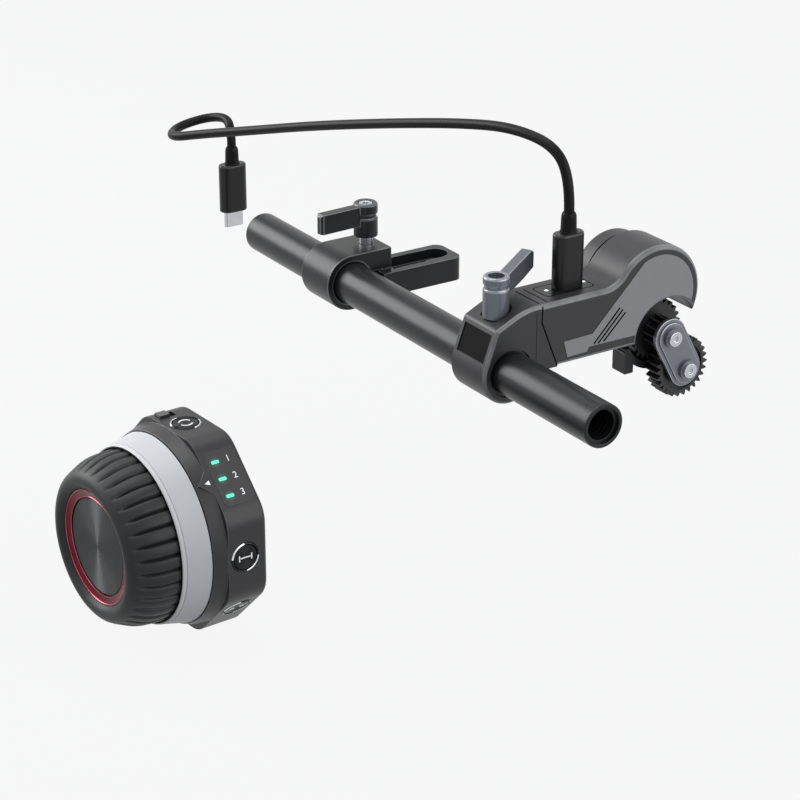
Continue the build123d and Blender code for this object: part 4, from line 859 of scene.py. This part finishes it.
# ---- rod ----
ROD_LENGTH = 215.0
MOUTH_R = 6.1
THREAD_TURNS = 7
THREAD_START = 1.6
THREAD_PITCH = 1.75
THREAD_END = 14.0
THREAD_CREST_R = 5.15
THREAD_ROOT_R = 5.6
BORE_R = 4.4


def rod_end(inward):
    """Profile of one end, from the outside to the bore: chamfer, mouth and thread."""
    points = [(0.75, 7.5), (0.3, 7.42), (0.0, 7.1), (0.0, 6.35), (0.25, MOUTH_R)]
    points.append((THREAD_START, MOUTH_R))
    for turn in range(THREAD_TURNS):
        start = THREAD_START + THREAD_PITCH * turn
        points += [(start + 0.1, THREAD_CREST_R), (start + 0.5, THREAD_CREST_R)]
        points += [(start + 1.1, THREAD_ROOT_R), (start + 1.3, THREAD_ROOT_R)]
    points += [(THREAD_END, THREAD_CREST_R), (THREAD_END, BORE_R)]
    return [(along if inward > 0 else ROD_LENGTH - along, radius) for along, radius in points]


ROD_PROFILE = rod_end(1) + rod_end(-1)[::-1]
spun("rod_tube", ROD_PROFILE, lying((0, 0, 0), (0, 1, 0)), "rod", steps=128)

# ---- pieces that keep the solids' shapes, and how wide their edges are softened ----
for node, width in {
    "rear_clamp": 0.4,
    "slot_plate": 0.2,
    "plate_screw": 0.15,
    "rear_lever_handle": 0.3,
    "rear_lever_screw": 0.15,
    "rear_lever_stud": 0.1,
    "front_lever_handle": 0.3,
    "front_lever_screw": 0.15,
    "front_lever_stud": 0.1,
    "cover_screws": 0.12,
    "base_screws": 0.2,
    "drive_gear": 0.1,
    "idler_gear": 0.1,
    "link_screws": 0.15,
    "back_screws": 0.12,
    "tripod_insert": 0.12,
}.items():
    rounded(node, width)
rounded("controller_body", 0.15, finished="hand_black")
rounded("controller_back", 0.25, finished="hand_black")

# ---- springs in the levers ----
SPRING_R = 2.1
SPRING_WIRE_R = 0.45
SPRING_TURNS = 5
SPRING_STEPS = 24
WIRE_SIDES = 8


def make_spring(node):
    """A coil between the handle's web and the screw head."""
    low, high = (Vector(corner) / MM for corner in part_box(node))
    middle = (low + high) / 2
    rise = high.z - low.z - 2 * SPRING_WIRE_R
    steps = SPRING_TURNS * SPRING_STEPS
    shape = bmesh.new()
    start = Matrix.Translation((SPRING_R, 0, 0)) @ UPRIGHT
    bmesh.ops.create_circle(
        shape, cap_ends=True, segments=WIRE_SIDES, radius=SPRING_WIRE_R, matrix=start
    )
    bmesh.ops.spin(
        shape,
        geom=[*shape.faces, *shape.edges, *shape.verts],
        cent=(0, 0, 0),
        axis=(0, 0, 1),
        dvec=(0, 0, rise / steps),
        angle=2 * pi * SPRING_TURNS,
        steps=steps,
    )
    bmesh.ops.recalc_face_normals(shape, faces=shape.faces)
    foot = Matrix.Translation((middle.x, middle.y, low.z + SPRING_WIRE_R))
    bmesh.ops.transform(shape, matrix=TO_METRES @ foot, verts=shape.verts)
    coil = settle(node + "_coil", shape, node)
    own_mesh(coil)


make_spring("rear_lever_spring")
make_spring("front_lever_spring")

# ---- pieces with roundings of their own ----
# the motor unit's front rounding ends here
ROUNDING_END = at(0, 52.6, 0).y


def front_rim_highlight(face):
    """The rounding between the motor unit's front and its sides, marked for a painted highlight."""
    return -0.97 < face.normal.y < -0.12 and face.calc_center_median().y < ROUNDING_END


def link_rim_highlight(face):
    """The rounding round the link plate's front, marked for a painted highlight."""
    return -0.95 < face.normal.y < -0.2


for node, rim in {
    "motor_clamp": front_rim_highlight,
    "motor_shell": front_rim_highlight,
    "accent_plate": None,
    "link_plate": link_rim_highlight,
    "swing_arm": None,
    "motor_rear_cover": None,
    "status_panel": None,
    "power_switch": None,
}.items():
    as_drawn(node, rim)
as_drawn("light_panel", finished="lamp_panel")

# ---- knob and marking ring ----
RIBS = 36
STEPS_PER_RIB = 16
# the grooves start here behind the smooth front rim, and grow to their depth over the run-in
GROOVE_FRONT = -15.3
GROOVE_RUN_IN = 4.0
# only the outer skin is ribbed, not the bore
SKIN_R = 26.0
GROOVE_DEPTH = 1.0
GROOVE_WIDTH = 0.5
CROWN_DEPTH = 0.38
GRIP_PROFILE = [
    (-13.4, 20.35),
    (-15.0, 20.35),
    (-15.3, 20.5),
    (-16.3, 21.45),
    (-16.85, 22.3),
    (-17.0, 23.1),
    (-16.9, 24.0),
    (-16.5, 24.9),
    (-15.95, 25.65),
    (-15.45, 26.15),
    (-15.2, 26.36),
    (-14.2, 26.95),
    (-13.0, 27.6),
    (-11.5, 28.3),
    (-10.0, 28.95),
    (-8.0, 29.6),
    (-6.0, 30.0),
    (-4.0, 30.2),
    (-2.0, 30.28),
    (0.5, 30.28),
    (1.6, 30.2),
    (2.0, 29.9),
    (2.0, 25.0),
    (-13.4, 25.0),
]
RED_RING_PROFILE = [
    (-13.4, 17.35),
    (-14.15, 17.35),
    (-14.4, 17.45),
    (-14.45, 17.62),
    (-14.3, 17.8),
    (-14.85, 19.65),
    (-15.1, 19.75),
    (-15.25, 19.95),
    (-15.2, 20.2),
    (-15.0, 20.32),
    (-13.4, 20.32),
]
DISC_PROFILE = [
    (-14.2, 0.0),
    (-14.22, 16.4),
    (-14.1, 16.75),
    (-13.85, 16.95),
    (-13.4, 16.98),
    (-13.4, 0.0),
]
MARKING_RING_PROFILE = [
    (1.5, 30.75),
    (0.35, 30.78),
    (0.05, 30.95),
    (0.0, 31.2),
    (0.15, 31.42),
    (0.5, 31.56),
    (1.15, 31.66),
    (1.3, 31.5),
    (1.5, 31.5),
    (1.65, 31.76),
    (9.55, 33.62),
    (9.75, 33.74),
    (9.92, 33.7),
    (10.0, 33.5),
    (10.0, 32.6),
    (10.2, 32.5),
    (10.2, 27.0),
    (4.0, 27.0),
    (4.0, 30.7),
]


def grip_ripple(along, radius, turn):
    """Crowned ribs with a narrow groove between two of them; the front rim stays smooth."""
    if along < GROOVE_FRONT or radius < SKIN_R:
        return 0.0
    step = 2 * pi / RIBS
    off = abs((turn + step / 2) % step - step / 2)
    groove = exp(-((off * radius / GROOVE_WIDTH) ** 2))
    crown = (1 - 2 * off / step) ** 2
    grown = min(1.0, (along - GROOVE_FRONT) / GROOVE_RUN_IN)
    return -(GROOVE_DEPTH * groove + CROWN_DEPTH * crown) * grown


def red_lip_highlights(spot):
    """The two lips of the red ring, on either side of its slope, marked for a painted highlight."""
    return not 17.75 < spot.yz.length < 19.7


def marking_lip_highlights(spot):
    """The front and back lips of the marking ring, outside its written slope, marked for a painted
    highlight.
    """
    return spot.yz.length > 30.9 and not 1.2 < spot.x < 9.5


spun(
    "grip_ribbed",
    GRIP_PROFILE,
    HAND,
    "knob_grip",
    steps=RIBS * STEPS_PER_RIB,
    ripple=grip_ripple,
)
spun("ring_red_bevelled", RED_RING_PROFILE, HAND, "red_ring", steps=144, painted_highlight=red_lip_highlights)
spun("cap_spun", DISC_PROFILE, HAND, "knob_cap", steps=144, closed=False)
spun("ring_marking", MARKING_RING_PROFILE, HAND, "marking_ring", steps=192, painted_highlight=marking_lip_highlights)

# ---- buttons of the hand unit ----
BUTTON_STEPS = 72
BUTTON_PROFILE = [
    (-0.05, 0.0),
    (0.0, 2.2),
    (0.16, 3.8),
    (0.2, 4.1),
    (0.12, 4.36),
    (-0.1, 4.48),
    (-3.2, 4.5),
    (-3.2, 0.0),
]
BEZEL_PROFILE = [
    (-0.7, 4.65),
    (-0.1, 4.65),
    (0.2, 4.78),
    (0.3, 5.0),
    (0.24, 5.2),
    (0.05, 5.4),
    (-0.15, 5.5),
    (-0.7, 5.5),
]


def bezel_reflection_arcs(spot):
    """Two arcs on the crown of a bezel, opposite each other, marked for a painted reflection."""
    return spot.x > 0.1 and spot.y * spot.z > 2.5


for button in BUTTONS:
    spun(
        button + "_cap",
        BUTTON_PROFILE,
        button_axis(button),
        button,
        steps=BUTTON_STEPS,
        closed=False,
        finished=button + "_spun",
    )
# the three bezels are one node, and the first of them stands for it
for i, button in enumerate(BUTTONS):
    spun(
        "bezel_" + button,
        BEZEL_PROFILE,
        button_axis(button),
        "button_bezels",
        steps=BUTTON_STEPS,
        painted_highlight=bezel_reflection_arcs,
        stands_for=i == 0,
    )

# ---- marks of the hand unit ----
FIGURE_X = 25.2
FIGURE_HEIGHT = 2.3
# height of a figure as a share of the lettering's size
FIGURE_SHARE = 0.7
INDEX_MARK = [(13.2, 0.0), (15.1, -0.9), (15.1, 0.9)]
ARC_R = 2.3
ARC_WIDTH = 0.45
ARC_STARTS = (20, 200)
ARC_SWEEP = 125
ARC_STEPS = 15
STROKE = 0.4
# two stops with a bar between them, and a minus and a plus
BUTTON_STROKES = {
    "cal_button": {
        "range_stop_0": ((-2.4, -1.1), (-2.4, 1.1)),
        "range_stop_1": ((2.4, -1.1), (2.4, 1.1)),
        "range_bar": ((-2.0, 0.0), (2.0, 0.0)),
    },
    "trim_button": {
        "trim_less": ((-2.8, 0.0), (-1.0, 0.0)),
        "trim_more": ((1.0, 0.0), (2.8, 0.0)),
        "trim_more_upright": ((1.9, -0.9), (1.9, 0.9)),
    },
}


def print_figure(figure, place):
    """A figure in white ink beside its lamp, its middle at the place."""
    name = "figure_" + figure
    letters = bpy.data.curves.new(name, "FONT")
    letters.body = figure
    letters.size = FIGURE_HEIGHT / FIGURE_SHARE
    letters.align_x = "CENTER"
    letters.align_y = "CENTER"
    letters.extrude = FILM / 2
    holder = bpy.data.objects.new(name, letters)
    drawn = bpy.data.meshes.new_from_object(holder)
    shape = bmesh.new()
    shape.from_mesh(drawn)
    bpy.data.objects.remove(holder)
    bpy.data.curves.remove(letters)
    bpy.data.meshes.remove(drawn)
    bmesh.ops.remove_doubles(shape, verts=shape.verts, dist=DRAWN_DOUBLE)
    bmesh.ops.transform(shape, matrix=place, verts=shape.verts)
    settle(name, shape, "controller_body", "white_ink_glow", stands_for=False)


def print_arc(name, first, place, node):
    """An arc in white ink on a button, drawn anticlockwise from an angle in degrees."""
    shape = bmesh.new()
    inner, outer = ARC_R - ARC_WIDTH / 2, ARC_R + ARC_WIDTH / 2
    low, high = -BUTTON_FILM / 2, BUTTON_FILM / 2
    start = Matrix.Rotation(radians(first), 4, "Z")
    corners = [(inner, low), (outer, low), (outer, high), (inner, high)]
    face = shape.faces.new([shape.verts.new(start @ Vector((r, 0, z))) for r, z in corners])
    bmesh.ops.spin(
        shape,
        geom=[face, *face.edges, *face.verts],
        cent=(0, 0, 0),
        axis=(0, 0, 1),
        angle=radians(ARC_SWEEP),
        steps=ARC_STEPS,
    )
    bmesh.ops.remove_doubles(shape, verts=shape.verts, dist=DRAWN_DOUBLE)
    bmesh.ops.recalc_face_normals(shape, faces=shape.faces)
    bmesh.ops.transform(shape, matrix=place, verts=shape.verts)
    settle(name, shape, node, "white_ink_glow", stands_for=False)


for row, figure in zip(LIGHT_ROWS, "123"):
    print_figure(figure, on_facet(LAMP_FACET, FIGURE_X, row + 0.1))
inlay("index_mark", INDEX_MARK, on_facet(LAMP_FACET, 0, 0), "controller_body", "white_ink_glow")
for i, first in enumerate(ARC_STARTS):
    print_arc("mode_arc_%d" % i, first, on_facet(*BUTTONS["mode_button"]), "mode_button")
for button, strokes in BUTTON_STROKES.items():
    face = on_facet(*BUTTONS[button])
    for name, (start, end) in strokes.items():
        inlay(name, line(start, end, STROKE), face, button, "white_ink_glow", BUTTON_FILM)

# ---- lines on the motor unit ----
PANEL_CORNERS = [
    (19.4, 56.2),
    (37.1, 56.2),
    (38.2, 57.3),
    (38.2, 64.3),
    (37.1, 65.4),
    (19.4, 65.4),
    (18.3, 64.3),
    (18.3, 57.3),
]
SLASHES = [((34.1, 3.2), (44.4, 13.7)), ((35.9, 3.0), (45.7, 12.8)), ((38.2, 3.2), (46.8, 11.5))]
# painted shade: a darker field on the leaning left side of the clamp
CHEEK_LEAN = radians(20)
CHEEK_NORMAL = (-cos(CHEEK_LEAN), 0, sin(CHEEK_LEAN))
CHEEK = lying((-7.92, 60.4, 9.38), CHEEK_NORMAL) @ FACE_UP.inverted()
CHEEK_OUTLINE = [(-4.9, -7.6), (4.9, -7.6), (4.9, 7.6), (-4.9, 7.6)]


def seam(name, start, end, width, place, node):
    """A dark line where two surfaces meet."""
    inlay(name, line(start, end, width), place, node, "seam_shadow")


seam("top_seam", (15.7, 52.8), (15.7, 66.4), 0.4, MOTOR_TOP, "motor_shell")
seam("top_joint", (12.4, 52.8), (12.4, 66.4), 0.45, MOTOR_TOP, "motor_shell")
for i, (start, end) in enumerate(zip(PANEL_CORNERS, PANEL_CORNERS[1:] + PANEL_CORNERS[:1])):
    seam("panel_border_%d" % i, start, end, 0.35, MOTOR_TOP, "motor_shell")
inlay("clamp_cheek", CHEEK_OUTLINE, CHEEK, "motor_clamp", "cheek_shade")
for i, (start, end) in enumerate(SLASHES):
    seam("slash_shade_%d" % i, start, end, 0.7, MOTOR_FRONT, "accent_plate")
# painted shade along a change of plane in the clamp's front
seam("front_crease_shade", (10.0, 0.5), (10.0, 19.2), 0.14, MOTOR_FRONT, "motor_clamp")
seam("seam_upper", (12.38, 21.0), (12.1, 15.4), 0.5, MOTOR_FRONT, "motor_shell")
seam("seam_lower", (12.1, 15.4), (18.85, -1.4), 0.5, MOTOR_FRONT, "motor_shell")
